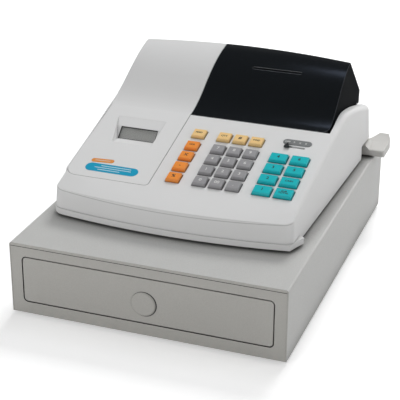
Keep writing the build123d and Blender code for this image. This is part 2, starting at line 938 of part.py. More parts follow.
with BuildPart() as upper_housing:
    add(head_solid(seam_z))
    add(head_solid(seam_z - 1, wall), mode=Mode.SUBTRACT)
    # Key holes and the slot of the mode switch, with its raised index plate.
    with BuildSketch(on_deck(0, 0, 2 * wall)):
        for name, x, v, width in key_layout():
            with Locations((x, v)):
                Rectangle(width + 2 * key_gap, key_l + 2 * key_gap)
        with Locations((switch_x, switch_v)):
            SlotOverall(switch_len, switch_w)
    extrude(amount=4 * wall, mode=Mode.SUBTRACT)
    with BuildSketch(on_deck(switch_x + 1, plate_v)):
        SlotOverall(plate_len, plate_w)
    extrude(amount=plate_t)
    # Opening for the display panel in the deck, then the gap between the cheeks.
    extrude(panel_plan(-seam) & front_half(), amount=form_top, mode=Mode.SUBTRACT)
    bar((panel_left - seam, cheek_in), (cover_front, shelf_y), (bay_top, form_top), Mode.SUBTRACT)
    bar(
        (panel_left - seam, cheek_in),
        (cover_front, side_reach * 3),
        (rear_wall_top, form_top),
        Mode.SUBTRACT,
    )
    add(panel_collar())
    # Inner faces of the two cheeks, within the head's own form.
    with BuildPart(mode=Mode.PRIVATE) as cheek_walls:
        add(head_form(seam_z))
        with BuildPart(mode=Mode.PRIVATE) as slabs:
            bar((cheek_in, cheek_in + tub_wall), (cover_front - 4, bay_back), (tub_floor, form_top))
            bar(
                (panel_left - seam - tub_wall, panel_left - seam),
                (cover_front - 4, shelf_y + 12),
                (bay_top, form_top),
            )
        add(slabs.part, mode=Mode.INTERSECT)
    add(cheek_walls.part)
    # Printer bay: floor and walls, with a ledge for the cover's front edge.
    across = (bay_left - tub_wall, cheek_in + 1)
    along = (bay_front - tub_wall, bay_back)
    bar(across, along, (tub_floor - tub_wall, tub_floor))
    bar((bay_left - tub_wall, bay_left), along, (tub_floor, bay_top))
    bar(across, (bay_back - tub_wall, bay_back), (tub_floor, bay_top))
    ledge_top = deck_height(cover_front) - cover_rim
    bar(across, (bay_front - tub_wall, bay_front), (tub_floor, ledge_top))
    bar(
        (tower_split + 2 * seam, cheek_in + 1),
        (cover_front - wall, bay_front),
        (ledge_top - ledge_t, ledge_top),
    )
    bar(
        (tower_split + seam, cheek_in + 1),
        (cover_front - wall, cover_front),
        (ledge_top - ledge_t, ledge_top + 1),
    )
    # Shelf along the rear wall under the display panel's back edge.
    bar(
        (panel_left - seam - 1, seam_x(tower_foot_y) - 1),
        (shelf_y, rear_y - wall - 5),
        (panel_low - shelf_t, panel_low),
    )
    # Hinge lugs and pins for the cover, rising from the back of the bay.
    for x in ear_x:
        lug_x = x + hinge_ear + ear_space
        arm = (
            (bay_back - tub_wall, bay_top - 20),
            (bay_back, bay_top - 20),
            (bay_back, hinge_z - 3),
            (hinge_y - hinge_ear_r, hinge_z),
        )
        add(hinge_lug(lug_x, hinge_ear, arm))
        with Locations(Plane.YZ.offset(x - 0.5) * Pos(hinge_y, hinge_z, 0)):
            Cylinder(
                hinge_pin_r,
                2 * hinge_ear + ear_space,
                align=on_base,
            )
    # Walls of the notch for the customer display, then the notch itself.
    with BuildPart(mode=Mode.PRIVATE) as liner:
        add(head_form(seam_z))
        add(pod_notch(tub_wall), mode=Mode.INTERSECT)
        bar((0, side_reach), (0, rear_y + 9), (notch_top + tub_wall, form_top), Mode.SUBTRACT)
    add(liner.part)
    add(pod_notch(), mode=Mode.SUBTRACT)
save(upper_housing.part, "upper_housing")

# Display panel: leaning, hollow moulding that runs from the deck up over the tower.
panel_stations = (-156, -120, -80, -40, -10)
with BuildPart() as display_panel:
    add(tower_form(panel_stations, panel_front, rim_depth, panel_low, panel_plan()))
    split(bisect_by=lean_plane(), keep=Keep.TOP)
    with BuildPart(mode=Mode.PRIVATE) as panel_hollow:
        add(
            tower_form(
                panel_stations,
                panel_front - 20,
                4 * rim_depth,
                panel_low - 30,
                panel_plan(skin),
                skin,
            )
        )
        split(bisect_by=lean_plane(skin), keep=Keep.TOP)
    add(panel_hollow.part, mode=Mode.SUBTRACT)
    with BuildPart(mode=Mode.PRIVATE) as tub:
        add(pocket(skin))
        add(deck_slab((skin / 2, 30), (pocket_front[0] - 6, cover_front)), mode=Mode.INTERSECT)
    add(tub.part)
    add(pocket(), mode=Mode.SUBTRACT)
    with BuildSketch(window_face) as opening:
        with Locations((0, window_rise / 2)):
            Rectangle(window_w, window_rise - 2 * window_edge)
    extrude(amount=8, both=True, mode=Mode.SUBTRACT)
save(display_panel.part, "display_panel")

# Clear window plate, sunk a little into the pocket's inclined face, on the display module.
window_gap = 0.15
window_back = window_sink + window_t
with BuildPart() as display_window:
    with BuildSketch(window_face.offset(-window_back)):
        with Locations((0, window_rise / 2)):
            Rectangle(window_w - 2 * window_gap, window_rise - 2 * window_edge - 2 * window_gap)
    extrude(amount=window_t)
save(display_window.part, "display_window")

module_t = 7.0
module_up = 1.7
with BuildPart() as lcd_module:
    with BuildSketch(window_face.offset(-window_back)):
        with Locations((0, window_rise / 2)):
            Rectangle(
                window_w - 2 * window_gap,
                window_rise - 2 * window_edge - 2 * window_gap,
            )
    extrude(amount=-module_up)
    with BuildSketch(window_face.offset(-window_back - module_up)):
        with Locations((0, window_rise / 2)):
            Rectangle(window_w + 4, window_rise + 2)
    extrude(amount=-module_t)
save(lcd_module.part, "lcd_module")

# Printer cover: hollow moulding with hinge ears at the back and a side wall under its skin.
cover_stations = (-60, 0, 45, 90, 150)
slot_x = (17.0, 80.0)
slot_y = 319.0
slot_gap = 3.2
side_wall_x = -20.0
with BuildPart() as printer_cover:
    add(tower_form(cover_stations, cover_front - 3, cover_rim, cover_low, cover_plan()))
    with BuildPart(mode=Mode.PRIVATE) as cover_hollow:
        add(
            tower_form(
                cover_stations,
                cover_front - 9,
                5 * cover_rim,
                cover_low - 30,
                cover_plan(skin) + cover_underside(),
                skin,
            )
        )
        bar(
            (side_wall_x - skin, side_wall_x),
            (cover_front, cover_front + side_reach),
            (0, form_top * 2),
            Mode.SUBTRACT,
        )
    add(cover_hollow.part, mode=Mode.SUBTRACT)
    with BuildSketch(Plane.XY.offset(form_top)):
        with Locations((sum(slot_x) / 2, slot_y)):
            SlotOverall(slot_x[1] - slot_x[0], slot_gap)
    extrude(amount=form_top / 3, mode=Mode.SUBTRACT)
    for x in ear_x:
        arm = (
            (hinge_y, hinge_z + hinge_ear_r),
            (hinge_y, hinge_z - hinge_ear_r),
            (tower_foot_y - 1, cover_low),
            (tower_foot_y, hinge_z + hinge_ear_r + 4),
        )
        add(hinge_lug(x, hinge_ear, arm))
        with Locations(Plane.YZ.offset(x) * Pos(hinge_y, hinge_z, 0)):
            Cylinder(hinge_pin_r + running, 30, mode=Mode.SUBTRACT)
save(printer_cover.part, "printer_cover")

# ---- keyboard --------------------------------------------------------------------------
guide_low = guide_depth + guide_t
stem_end = guide_low + 1.0
board_top = stem_end + key_travel + 0.4
grid_x = (orange_x - key_w / 2 - 5.0, teal_x[1] + teal_w / 2 + 1.2)
grid_v = (row_v - key_l / 2 - 6.3, cream_v + key_l / 2 + 4.3)
post_low = row_v - pitch_v / 2 - 0.5
post_rows = (row_v + pitch_v / 2, row_v + (key_rows - 0.5) * pitch_v)
divide_x = (numeric_x + 2 * pitch_x + teal_x[0]) / 2
post_places = [(x, v) for x in (grid_x[0] + 2, divide_x) for v in post_rows]
post_places += [(x, post_low) for x in (grid_x[1] - 1.6, (orange_x + numeric_x) / 2)]

# Guide plate under the deck: one square guide for each key, posts up to the deck.
with BuildPart() as keyboard_frame:
    with BuildSketch(on_deck(0, 0, guide_low)):
        with Locations((sum(grid_x) / 2, sum(grid_v) / 2)):
            Rectangle(grid_x[1] - grid_x[0], grid_v[1] - grid_v[0])
        for name, x, v, width in key_layout():
            with Locations((x, v)):
                Rectangle(
                    key_stem + 2 * stem_gap,
                    key_stem + 2 * stem_gap,
                    mode=Mode.SUBTRACT,
                )
    extrude(amount=guide_t)
    with Locations(*[on_deck(x, v, wall) for x, v in post_places]):
        Cylinder(
            1.2,
            guide_depth - wall,
            align=under,
        )
    with Locations(*[on_deck(x, v, guide_low) for x, v in post_places]):
        Cylinder(
            1.8,
            board_top - guide_low,
            align=under,
        )
save(keyboard_frame.part, "keyboard_frame")

# Contact board below the stems.
with BuildPart() as keyboard_board:
    with BuildSketch(on_deck(0, 0, board_top + board_t)):
        with Locations((sum(grid_x) / 2, sum(grid_v) / 2)):
            RectangleRounded(grid_x[1] - grid_x[0], grid_v[1] - grid_v[0], 2)
    extrude(amount=board_t)
save(keyboard_board.part, "keyboard_board")


def key(width):
    """A tapered hollow key cap on a square stem, standing at the middle of its hole."""
    with BuildPart() as cap:
        with BuildSketch(Plane.XY.offset(-key_sink)):
            Rectangle(width, key_l)
        extrude(amount=key_rise + key_sink, taper=key_taper)
        chamfer(cap.faces().sort_by(Axis.Z)[-1].edges(), 0.7)
        with BuildSketch(Plane.XY.offset(-key_sink)):
            Rectangle(width - 2 * key_skin, key_l - 2 * key_skin)
        extrude(amount=key_rise + key_sink - key_skin, taper=key_taper, mode=Mode.SUBTRACT)
        with Locations((0, 0, key_rise - key_skin / 2)):
            Box(
                key_stem,
                key_stem,
                key_rise - key_skin / 2 + stem_end,
                align=under,
            )
    return cap.part


for name, x, v, width in key_layout():
    save(on_deck(x, v) * key(width), name)

# Mode switch knob: triangular pointer on a flat stem through the slot.
knob_x = switch_x - knob_travel / 2
knob_t = 2.6
knob_lift = 0.9
knob_stem_w = 2.6
knob_stem_l = 4.0
with BuildPart() as mode_knob:
    with BuildSketch(Plane.XY.offset(knob_lift)):
        with BuildLine():
            Polyline((-3.6, -3.4), (3.6, -3.4), (0, 5.2), close=True)
        make_face()
    extrude(amount=knob_t, taper=9)
    with Locations((0, 0, knob_lift + 0.5)):
        Box(
            knob_stem_l,
            knob_stem_w,
            wall + knob_lift + 2,
            align=under,
        )
    with Locations((0, 0, -wall - 0.5)):
        Box(9.0, 6.0, 1.6, align=under)
save(on_deck(knob_x, switch_v) * mode_knob.part, "mode_knob")

# ---- printer ---------------------------------------------------------------------------
plate_in = 14.0
plate_out = 86.0
side_t = 3.0
frame_front = 275.0
frame_rear = 364.0
roll_y = 352.0
roll_z = 150.0
roll_r = 31.0
roll_w = 57.0
spindle_r = 6.0
spindle_end_r = 3.0
platen_y = 317.0
platen_z = 190.0
platen_r = 8.0
shaft_r = 3.0
paper_mid = (plate_in + plate_out) / 2

# Printer frame: two shaped side plates on a base, with the print head block in front.
with BuildPart() as printer_frame:
    for x in (plate_in - side_t, plate_out):
        with BuildSketch(Plane.YZ.offset(x)):
            with BuildLine():
                Polyline(
                    (frame_front, tub_floor),
                    (frame_front, roll_z),
                    (platen_y - 20, platen_z - 7),
                    (platen_y - 7, platen_z + platen_r),
                    (platen_y + 7, platen_z + platen_r),
                    (platen_y + 13, platen_z - 14),
                    (roll_y - 7, roll_z + 10),
                    (roll_y + 8, roll_z + 10),
                    (frame_rear, roll_z - 4),
                    (frame_rear, tub_floor),
                    close=True,
                )
            make_face()
            with Locations((roll_y, roll_z)):
                Circle(spindle_end_r, mode=Mode.SUBTRACT)
            with Locations((platen_y, platen_z)):
                Circle(shaft_r + running, mode=Mode.SUBTRACT)
        extrude(amount=side_t)
    floor_z = (tub_floor, tub_floor + side_t)
    bar((plate_in - side_t, plate_out + side_t), (frame_front, frame_rear), floor_z)
    # Print head: a cross bar in front of the platen, with the head block on it.
    bar(
        (plate_in, plate_out),
        (platen_y - 30, platen_y - 11),
        (platen_z - 18, platen_z - 10),
    )
    bar(
        (plate_in + 6, plate_out - 6),
        (platen_y - 25, platen_y - 14),
        (platen_z - 10, platen_z - 5),
    )
save(printer_frame.part, "printer_frame")

with BuildPart() as platen_roller:
    with Locations(Plane.YZ.offset(paper_mid) * Pos(platen_y, platen_z, 0)):
        Cylinder(platen_r, plate_out - plate_in - 2)
        Cylinder(shaft_r, plate_out - plate_in + 2 * side_t)
save(platen_roller.part, "platen_roller")

# Paper roll on its core, and the spindle it turns on.
with BuildPart() as paper_roll:
    with Locations(Plane.YZ.offset(paper_mid) * Pos(roll_y, roll_z, 0)):
        Cylinder(roll_r, roll_w)
        Cylinder(spindle_r + running, 2 * roll_w, mode=Mode.SUBTRACT)
save(paper_roll.part, "paper_roll")

with BuildPart() as roll_spindle:
    with Locations(Plane.YZ.offset(paper_mid) * Pos(roll_y, roll_z, 0)):
        Cylinder(spindle_r, plate_out - plate_in - 0.6)
        Cylinder(spindle_end_r, plate_out - plate_in + 2 * side_t)
save(roll_spindle.part, "roll_spindle")

# ---- base pan and what it carries ------------------------------------------------------
pan_floor = 2.4
pan_inner = 3.2
lip_gap = 0.4
lip_t = 1.8
lip_h = 3.0
standoff_h = 4.0
pad_places = [(x, y) for x in (-118, 118) for y in (108, 345)]
board_places = [(x, y) for x in (-20, 95) for y in (150, 235)]


def pan_plan(grow=0.0):
    """Plan outline of the base pan, flush with the housing's foot."""
    with BuildSketch(Plane.XY) as plan:
        add(walls_plan(seam_z, -grow).moved(Pos(0, 0, -seam_z)))
        add(nose_plan(seam_z, -grow).moved(Pos(0, 0, -seam_z)), mode=Mode.INTERSECT)
    return plan.sketch


def lip_plan():
    """Plan outline of the proud lip round the front, drawn out to a tip at its right end."""
    swing = (half_width**2 + bow**2) / (2 * bow)
    front = front_y - lip_step
    back = lip_tip_y + lip_tail

    def front_at(x):
        return front + swing - (swing**2 - (x - head_x) ** 2) ** 0.5

    left = head_x - half_at(back, seam_z) - lip_step
    with BuildSketch(Plane.XY) as plan:
        with BuildLine():
            ThreePointArc(
                (left, front_at(left)),
                (head_x, front),
                (lip_bend_x, front_at(lip_bend_x)),
            )
            Polyline(
                (lip_bend_x, front_at(lip_bend_x)),
                (lip_tip_x, lip_tip_y),
                (head_x + half_at(back, seam_z) - wall, back),
                (left, back),
                (left, front_at(left)),
            )
        make_face()
        fillet(plan.vertices().group_by(Axis.X)[0].sort_by(Axis.Y)[0], front_corner + lip_step)
    return plan.sketch


# Base pan: shallow tray under the housing, undercut, with a proud lip round its front.
lip_under = 1.8
with BuildPart() as base_pan:
    for outline in (pan_plan(), lip_plan()):
        edge = outline.moved(Pos(0, 0, pan_low + lip_under))
        extrude(edge, amount=seam_z - pan_low - lip_under)
        extrude(edge, amount=-lip_under, taper=degrees(atan(pan_under / lip_under)))
    extrude(
        pan_plan(-pan_inner).moved(Pos(0, 0, pan_low + pan_floor)),
        amount=20,
        mode=Mode.SUBTRACT,
    )
    with Locations(*[(x, y, cabinet_h) for x, y in pad_places]):
        Cylinder(7, pan_low - cabinet_h, align=on_base)
    extrude(
        pan_plan(-wall - lip_gap).moved(Pos(0, 0, pan_low + pan_floor)),
        amount=seam_z + lip_h - pan_low - pan_floor,
    )
    extrude(
        pan_plan(-wall - lip_gap - lip_t).moved(Pos(0, 0, pan_low + pan_floor)),
        amount=20,
        mode=Mode.SUBTRACT,
    )
    with Locations(*[(x, y, pan_low + pan_floor) for x, y in board_places]):
        Cylinder(2.5, standoff_h, align=on_base)
    with BuildPart(mode=Mode.PRIVATE) as pan_liner:
        extrude(pan_plan(-0.5).moved(Pos(0, 0, pan_low)), amount=seam_z - pan_low)
        add(pod_notch(tub_wall), mode=Mode.INTERSECT)
    add(pan_liner.part)
    bar(
        (notch_left - tub_wall - lip_gap, side_reach),
        (notch_front - tub_wall - lip_gap, rear_y),
        (seam_z, seam_z + 2 * lip_h),
        Mode.SUBTRACT,
    )
    add(pod_notch(), mode=Mode.SUBTRACT)
    # Pivot pin of the customer display, standing out of the notch's side wall.
    with Locations(Plane.YZ.offset(notch_left - tub_wall) * Pos(pod_axis_y, pod_axis_z, 0)):
        Cylinder(
            pod_pin_r,
            pod_pin_end - notch_left + tub_wall,
            align=on_base,
        )
save(base_pan.part, "base_pan")

# Main circuit board on the pan's standoffs: processor, memory, driver, plug and capacitors.
board_edge = 8.0
board_x = (board_places[0][0] - board_edge, board_places[-1][0] + board_edge)
board_y = (board_places[0][1] - board_edge, board_places[-1][1] + board_edge)
with BuildPart() as main_board:
    low = pan_low + pan_floor + standoff_h
    bar(board_x, board_y, (low, low + board_t))
    for x, y, w, d, h in (
        (48, 47, 28, 28, 3),
        (88, 62, 12, 30, 4),
        (104, 22, 18, 10, 9),
        (18, 27, 10, 24, 4),
    ):
        part_x = (board_x[0] + x, board_x[0] + x + w)
        part_y = (board_y[0] + y, board_y[0] + y + d)
        bar(part_x, part_y, (low + board_t, low + board_t + h))
    with Locations(*[(board_x[0] + x, board_y[1] - 16, low + board_t) for x in (12, 26, 40)]):
        Cylinder(5, 10, align=on_base)
save(main_board.part, "main_board")

# Mains transformer: laminated core, bobbin and mounting feet.
core_x = (-120.0, -66.0)
core_y = (300.0, 346.0)
core_h = 46.0
coil_in = 8.0
with BuildPart() as transformer:
    low = pan_low + pan_floor
    stack_y = (core_y[0] + coil_in, core_y[1] - coil_in)
    bar((core_x[0] - coil_in, core_x[1] + coil_in), stack_y, (low, low + 2))
    bar(core_x, stack_y, (low, low + core_h))
    coil_x = (core_x[0] + coil_in, core_x[1] - coil_in)
    bar(coil_x, core_y, (low + coil_in, low + core_h - coil_in))
save(transformer.part, "transformer")

# ---- customer display ------------------------------------------------------------------
pod_window_t = 1.2
pod_window_w = 42.0
pod_window_h = 9.0
arm_mid = (pod_left + arm_end - arm_slope) / 2
pod_face = Plane(
    origin=(arm_mid, arm_back, (pod_low + arm_top) / 2),
    x_dir=(-1, 0, 0),
    z_dir=(0, 1, 0),
)
crown = [
    (
        pod_front + along * (pod_peak[0] - pod_front),
        pod_nose_z + up * (pod_peak[1] - pod_nose_z),
    )
    for along, up in ((0.55, 0.34), (0.85, 0.69))
]

# Grip that flares out of the arm's end: a wedge, cut to a slanting plan and rounded.
with BuildPart() as grip:
    with BuildSketch(Plane.YZ.offset(pod_left)) as wedge:
        with BuildLine():
            Polyline(
                (pod_front, pod_low),
                (pod_front, pod_nose_z),
                *crown,
                pod_peak,
                (pod_rear, pod_low + 1),
                (pod_rear - 1, pod_low),
                close=True,
            )
        make_face()
        fillet(wedge.vertices().sort_by(Axis.X)[:2], grip_edge_r)
    extrude(amount=pod_right - pod_left)
    with BuildSketch(Plane.XY) as outline:
        with BuildLine():
            Polyline(
                (arm_end - 2 * arm_slope, pod_front),
                (pod_right, pod_front),
                (pod_right, pod_peak[0] - 11),
                (pod_right - 6, pod_rear),
                (pod_right - 14, pod_rear),
                (arm_end - arm_slope - 3, arm_back),
                (arm_end - 2 * arm_slope, arm_back),
                close=True,
            )
        make_face()
        fillet(outline.vertices().group_by(Axis.Y)[0].sort_by(Axis.X)[-1], grip_corner_r)
        fillet(outline.vertices().group_by(Axis.Y)[-1], grip_corner_r)
    extrude(outline.sketch, amount=form_top, mode=Mode.INTERSECT)

# Customer display: arm with the screen on its rear face, and the grip at its end.
with BuildPart() as customer_display:
    with BuildSketch(Plane.YZ.offset(pod_left)):
        with Locations(((pod_front + arm_back) / 2, (pod_low + arm_top) / 2)):
            RectangleRounded(arm_back - pod_front, arm_top - pod_low, arm_r)
    extrude(amount=arm_end - pod_left)
    with BuildSketch(Plane.XZ.offset(-pod_front)):
        with BuildLine():
            Polyline(
                (pod_left, pod_low),
                (arm_end, pod_low),
                (arm_end, arm_top - arm_slope),
                (arm_end - arm_slope, arm_top),
                (pod_left, arm_top),
                close=True,
            )
        make_face()
    extrude(amount=pod_front - arm_back, mode=Mode.INTERSECT)
    add(grip.part)
    with BuildSketch(pod_face.offset(-pod_window_t)):
        Rectangle(pod_window_w, pod_window_h)
    extrude(amount=4, mode=Mode.SUBTRACT)
    with Locations(Plane.YZ.offset(pod_left) * Pos(pod_axis_y, pod_axis_z, 0)):
        Cylinder(
            pod_pin_r + running,
            pod_pin_end - pod_left + 1,
            align=on_base,
            mode=Mode.SUBTRACT,
        )
save(customer_display.part, "customer_display")

with BuildPart() as customer_window:
    with BuildSketch(pod_face.offset(-pod_window_t)):
        Rectangle(pod_window_w - 2 * window_gap, pod_window_h - 2 * window_gap)
    extrude(amount=pod_window_t)
save(customer_window.part, "customer_window")
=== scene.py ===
import json
from math import atan, cos, radians, sin

import bmesh
import bpy
from mathutils import Matrix, Vector
from mathutils.bvhtree import BVHTree


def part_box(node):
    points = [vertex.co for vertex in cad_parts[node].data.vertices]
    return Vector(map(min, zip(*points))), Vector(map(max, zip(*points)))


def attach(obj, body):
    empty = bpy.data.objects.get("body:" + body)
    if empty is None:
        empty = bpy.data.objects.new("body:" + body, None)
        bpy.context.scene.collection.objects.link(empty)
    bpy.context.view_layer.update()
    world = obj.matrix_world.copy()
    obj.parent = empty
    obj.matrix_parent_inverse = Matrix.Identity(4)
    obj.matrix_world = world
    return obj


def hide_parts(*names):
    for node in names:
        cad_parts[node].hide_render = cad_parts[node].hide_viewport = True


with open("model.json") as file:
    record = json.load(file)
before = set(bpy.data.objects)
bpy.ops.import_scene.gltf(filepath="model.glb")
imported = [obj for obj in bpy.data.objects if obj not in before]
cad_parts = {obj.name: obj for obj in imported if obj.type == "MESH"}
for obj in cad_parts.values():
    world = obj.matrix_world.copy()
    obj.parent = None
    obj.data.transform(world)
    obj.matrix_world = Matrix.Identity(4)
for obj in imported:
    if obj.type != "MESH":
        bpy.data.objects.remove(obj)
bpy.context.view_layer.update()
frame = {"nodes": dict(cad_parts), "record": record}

nodes = frame["nodes"]
bodies = frame["record"]["behaviour"]["bodies"]
home = {node: body for body, held in bodies.items() for node in held}

# ---- Table, light and camera -------------------------------------------------------------
# A plain pale table carries the register. Wide soft lamps hang over and beside it, and the
# camera stands in front, a little to the right and above.
table_reach = 6.0
table_top = bmesh.new()
bmesh.ops.create_grid(table_top, x_segments=1, y_segments=1, size=table_reach)
table_mesh = bpy.data.meshes.new("table_top")
table_top.to_mesh(table_mesh)
table_top.free()
table = bpy.data.objects.new("table_top", table_mesh)
bpy.context.scene.collection.objects.link(table)


def finish_named(name):
    """A new material with its node tree and its main shader."""
    material = bpy.data.materials.new(name)
    material.use_nodes = True
    return material, material.node_tree, material.node_tree.nodes["Principled BSDF"]


# The table looks white to the camera alone, and keeps the register's shadow.
table_lift = 0.42
table_finish, tree, shader = finish_named("table_white")
shader.inputs["Base Color"].default_value = (0.86, 0.86, 0.86, 1)
shader.inputs["Roughness"].default_value = 0.9
shader.inputs["Specular IOR Level"].default_value = 0.1
shader.inputs["Emission Color"].default_value = (1, 1, 1, 1)
rays = tree.nodes.new("ShaderNodeLightPath")
lift = tree.nodes.new("ShaderNodeMath")
lift.operation = "MULTIPLY"
lift.inputs[1].default_value = table_lift
tree.links.new(rays.outputs["Is Camera Ray"], lift.inputs[0])
tree.links.new(lift.outputs[0], shader.inputs["Emission Strength"])
table_mesh.materials.append(table_finish)

# The studio gives a low even light. The camera and reflections see it bright at eye level and
# dark overhead.
world = bpy.data.worlds.new("studio")
world.use_nodes = True
bpy.context.scene.world = world
tree = world.node_tree
ambient = tree.nodes["Background"]
ambient.inputs["Color"].default_value = (1.0, 1.0, 1.0, 1)
ambient.inputs["Strength"].default_value = 0.18
seen = tree.nodes.new("ShaderNodeBackground")
rays = tree.nodes.new("ShaderNodeLightPath")
direct = tree.nodes.new("ShaderNodeMath")
direct.operation = "ADD"
direct.use_clamp = True
direct_all = tree.nodes.new("ShaderNodeMath")
direct_all.operation = "ADD"
direct_all.use_clamp = True
tree.links.new(rays.outputs["Is Camera Ray"], direct.inputs[0])
tree.links.new(rays.outputs["Is Glossy Ray"], direct.inputs[1])
tree.links.new(direct.outputs[0], direct_all.inputs[0])
tree.links.new(rays.outputs["Is Transmission Ray"], direct_all.inputs[1])
aim = tree.nodes.new("ShaderNodeTexCoord")
parts = tree.nodes.new("ShaderNodeSeparateXYZ")
ceiling = tree.nodes.new("ShaderNodeMapRange")
ceiling.inputs["From Min"].default_value = 0.35
ceiling.inputs["From Max"].default_value = 0.8
ceiling.inputs["To Min"].default_value = 1.0
ceiling.inputs["To Max"].default_value = 0.10
tree.links.new(aim.outputs["Generated"], parts.inputs[0])
tree.links.new(parts.outputs["Z"], ceiling.inputs["Value"])
tree.links.new(ceiling.outputs["Result"], seen.inputs["Strength"])
blend_sky = tree.nodes.new("ShaderNodeMixShader")
tree.links.new(direct_all.outputs[0], blend_sky.inputs[0])
tree.links.new(ambient.outputs[0], blend_sky.inputs[1])
tree.links.new(seen.outputs[0], blend_sky.inputs[2])
tree.links.new(blend_sky.outputs[0], tree.nodes["World Output"].inputs["Surface"])


def soft_lamp(name, place, target, size, watts, colour=(1, 1, 1), mirrored=False):
    """A square soft lamp turned towards a point."""
    lamp = bpy.data.lights.new(name, "AREA")
    lamp.size = size
    lamp.energy = watts
    lamp.color = colour
    holder = bpy.data.objects.new(name, lamp)
    bpy.context.scene.collection.objects.link(holder)
    holder.location = place
    holder.rotation_euler = (Vector(target) - Vector(place)).to_track_quat("-Z", "Y").to_euler()
    holder.visible_glossy = mirrored
    return holder


# Each lamp's place, the point that it faces, its side in metres and its power in watts.
soft_lamp("lamp_behind", (0.0, 2.3, 2.6), (0, 0, 0.1), 1.1, 60.0)
soft_lamp("lamp_over", (0.0, 0.3, 1.9), (0, 0, 0.1), 0.9, 5.0)
soft_lamp("lamp_front", (-0.65, -1.8, 0.75), (0, 0, 0.12), 1.0, 11.0, mirrored=True)
soft_lamp("lamp_right", (1.7, 0.1, 0.8), (0, 0, 0.1), 0.9, 6.0)
soft_lamp("lamp_glint", (0.62, 1.4, 0.75), (0.1, 0, 0.1), 0.35, 3.0, mirrored=True)
soft_lamp("lamp_sheen", (-0.04, 0.42, 1.45), (0.1, 0.1, 0.2), 0.3, 0.42, (0.62, 0.74, 1.0), True)

# The camera's turn about the upright, its dip below level and a slight roll, in degrees.
eye_turn, eye_dip, eye_roll = 20.01, 24.8, 0.21
eye = bpy.data.objects.new("camera", bpy.data.cameras.new("camera"))
bpy.context.scene.collection.objects.link(eye)
eye.data.sensor_width = 36.0
eye.data.lens = 118.52
eye.matrix_world = (
    Matrix.Translation((0.48002, -1.37521, 0.74984))
    @ Matrix.Rotation(radians(eye_turn), 4, "Z")
    @ Matrix.Rotation(radians(90 - eye_dip), 4, "X")
    @ Matrix.Rotation(radians(eye_roll), 4, "Z")
)
bpy.context.scene.camera = eye
bpy.context.scene.view_settings.view_transform = "Standard"

# ---- Cash drawer cabinet ------------------------------------------------------------------
# Sheet steel folded into a hood over a welded chassis, sprayed with a warm grey paint that is
# finely speckled. The hood's short lip covers the top edge of the front frame.


def open_group(name, takes, gives):
    """A new node group with named float or colour inputs and outputs."""
    group = bpy.data.node_groups.new(name, "ShaderNodeTree")
    for label, kind, value in takes:
        made = group.interface.new_socket(label, in_out="INPUT", socket_type=kind)
        made.default_value = value
    for label, kind in gives:
        group.interface.new_socket(label, in_out="OUTPUT", socket_type=kind)
    return group, group.nodes.new("NodeGroupInput"), group.nodes.new("NodeGroupOutput")


def sum_of(tree, operation, first, second):
    """A maths node between two sockets or numbers."""
    node = tree.nodes.new("ShaderNodeMath")
    node.operation = operation
    for slot, value in zip(node.inputs, (first, second)):
        if isinstance(value, (int, float)):
            slot.default_value = value
        else:
            tree.links.new(value, slot)
    return node.outputs[0]


# Mottled colour, uneven gloss and fine grain, used by every finish on the register.
surface_group, given, made = open_group(
    "surface_grain",
    (
        ("Colour", "NodeSocketColor", (0.8, 0.8, 0.8, 1)),
        ("Mottle", "NodeSocketFloat", 0.03),
        ("Mottle Scale", "NodeSocketFloat", 30.0),
        ("Grain", "NodeSocketFloat", 0.03),
        ("Grain Scale", "NodeSocketFloat", 900.0),
        ("Roughness", "NodeSocketFloat", 0.5),
        ("Unevenness", "NodeSocketFloat", 0.06),
    ),
    (
        ("Colour", "NodeSocketColor"),
        ("Roughness", "NodeSocketFloat"),
        ("Height", "NodeSocketFloat"),
    ),
)
where = surface_group.nodes.new("ShaderNodeTexCoord")
clouds = surface_group.nodes.new("ShaderNodeTexNoise")
clouds.inputs["Detail"].default_value = 3.0
grain = surface_group.nodes.new("ShaderNodeTexNoise")
grain.inputs["Detail"].default_value = 2.0
for texture, scale in ((clouds, "Mottle Scale"), (grain, "Grain Scale")):
    surface_group.links.new(where.outputs["Object"], texture.inputs["Vector"])
    surface_group.links.new(given.outputs[scale], texture.inputs["Scale"])
cloud_swing = sum_of(surface_group, "SUBTRACT", clouds.outputs["Fac"], 0.5)
grain_swing = sum_of(surface_group, "SUBTRACT", grain.outputs["Fac"], 0.5)
cloud_tone = sum_of(surface_group, "MULTIPLY", cloud_swing, given.outputs["Mottle"])
grain_tone = sum_of(surface_group, "MULTIPLY", grain_swing, given.outputs["Grain"])
tone = sum_of(surface_group, "ADD", sum_of(surface_group, "ADD", cloud_tone, grain_tone), 1.0)
tinted = surface_group.nodes.new("ShaderNodeVectorMath")
tinted.operation = "SCALE"
surface_group.links.new(given.outputs["Colour"], tinted.inputs[0])
surface_group.links.new(tone, tinted.inputs["Scale"])
surface_group.links.new(tinted.outputs[0], made.inputs["Colour"])
gloss_swing = sum_of(surface_group, "MULTIPLY", cloud_swing, given.outputs["Unevenness"])
surface_group.links.new(
    sum_of(surface_group, "ADD", gloss_swing, given.outputs["Roughness"]), made.inputs["Roughness"]
)
surface_group.links.new(grain.outputs["Fac"], made.inputs["Height"])

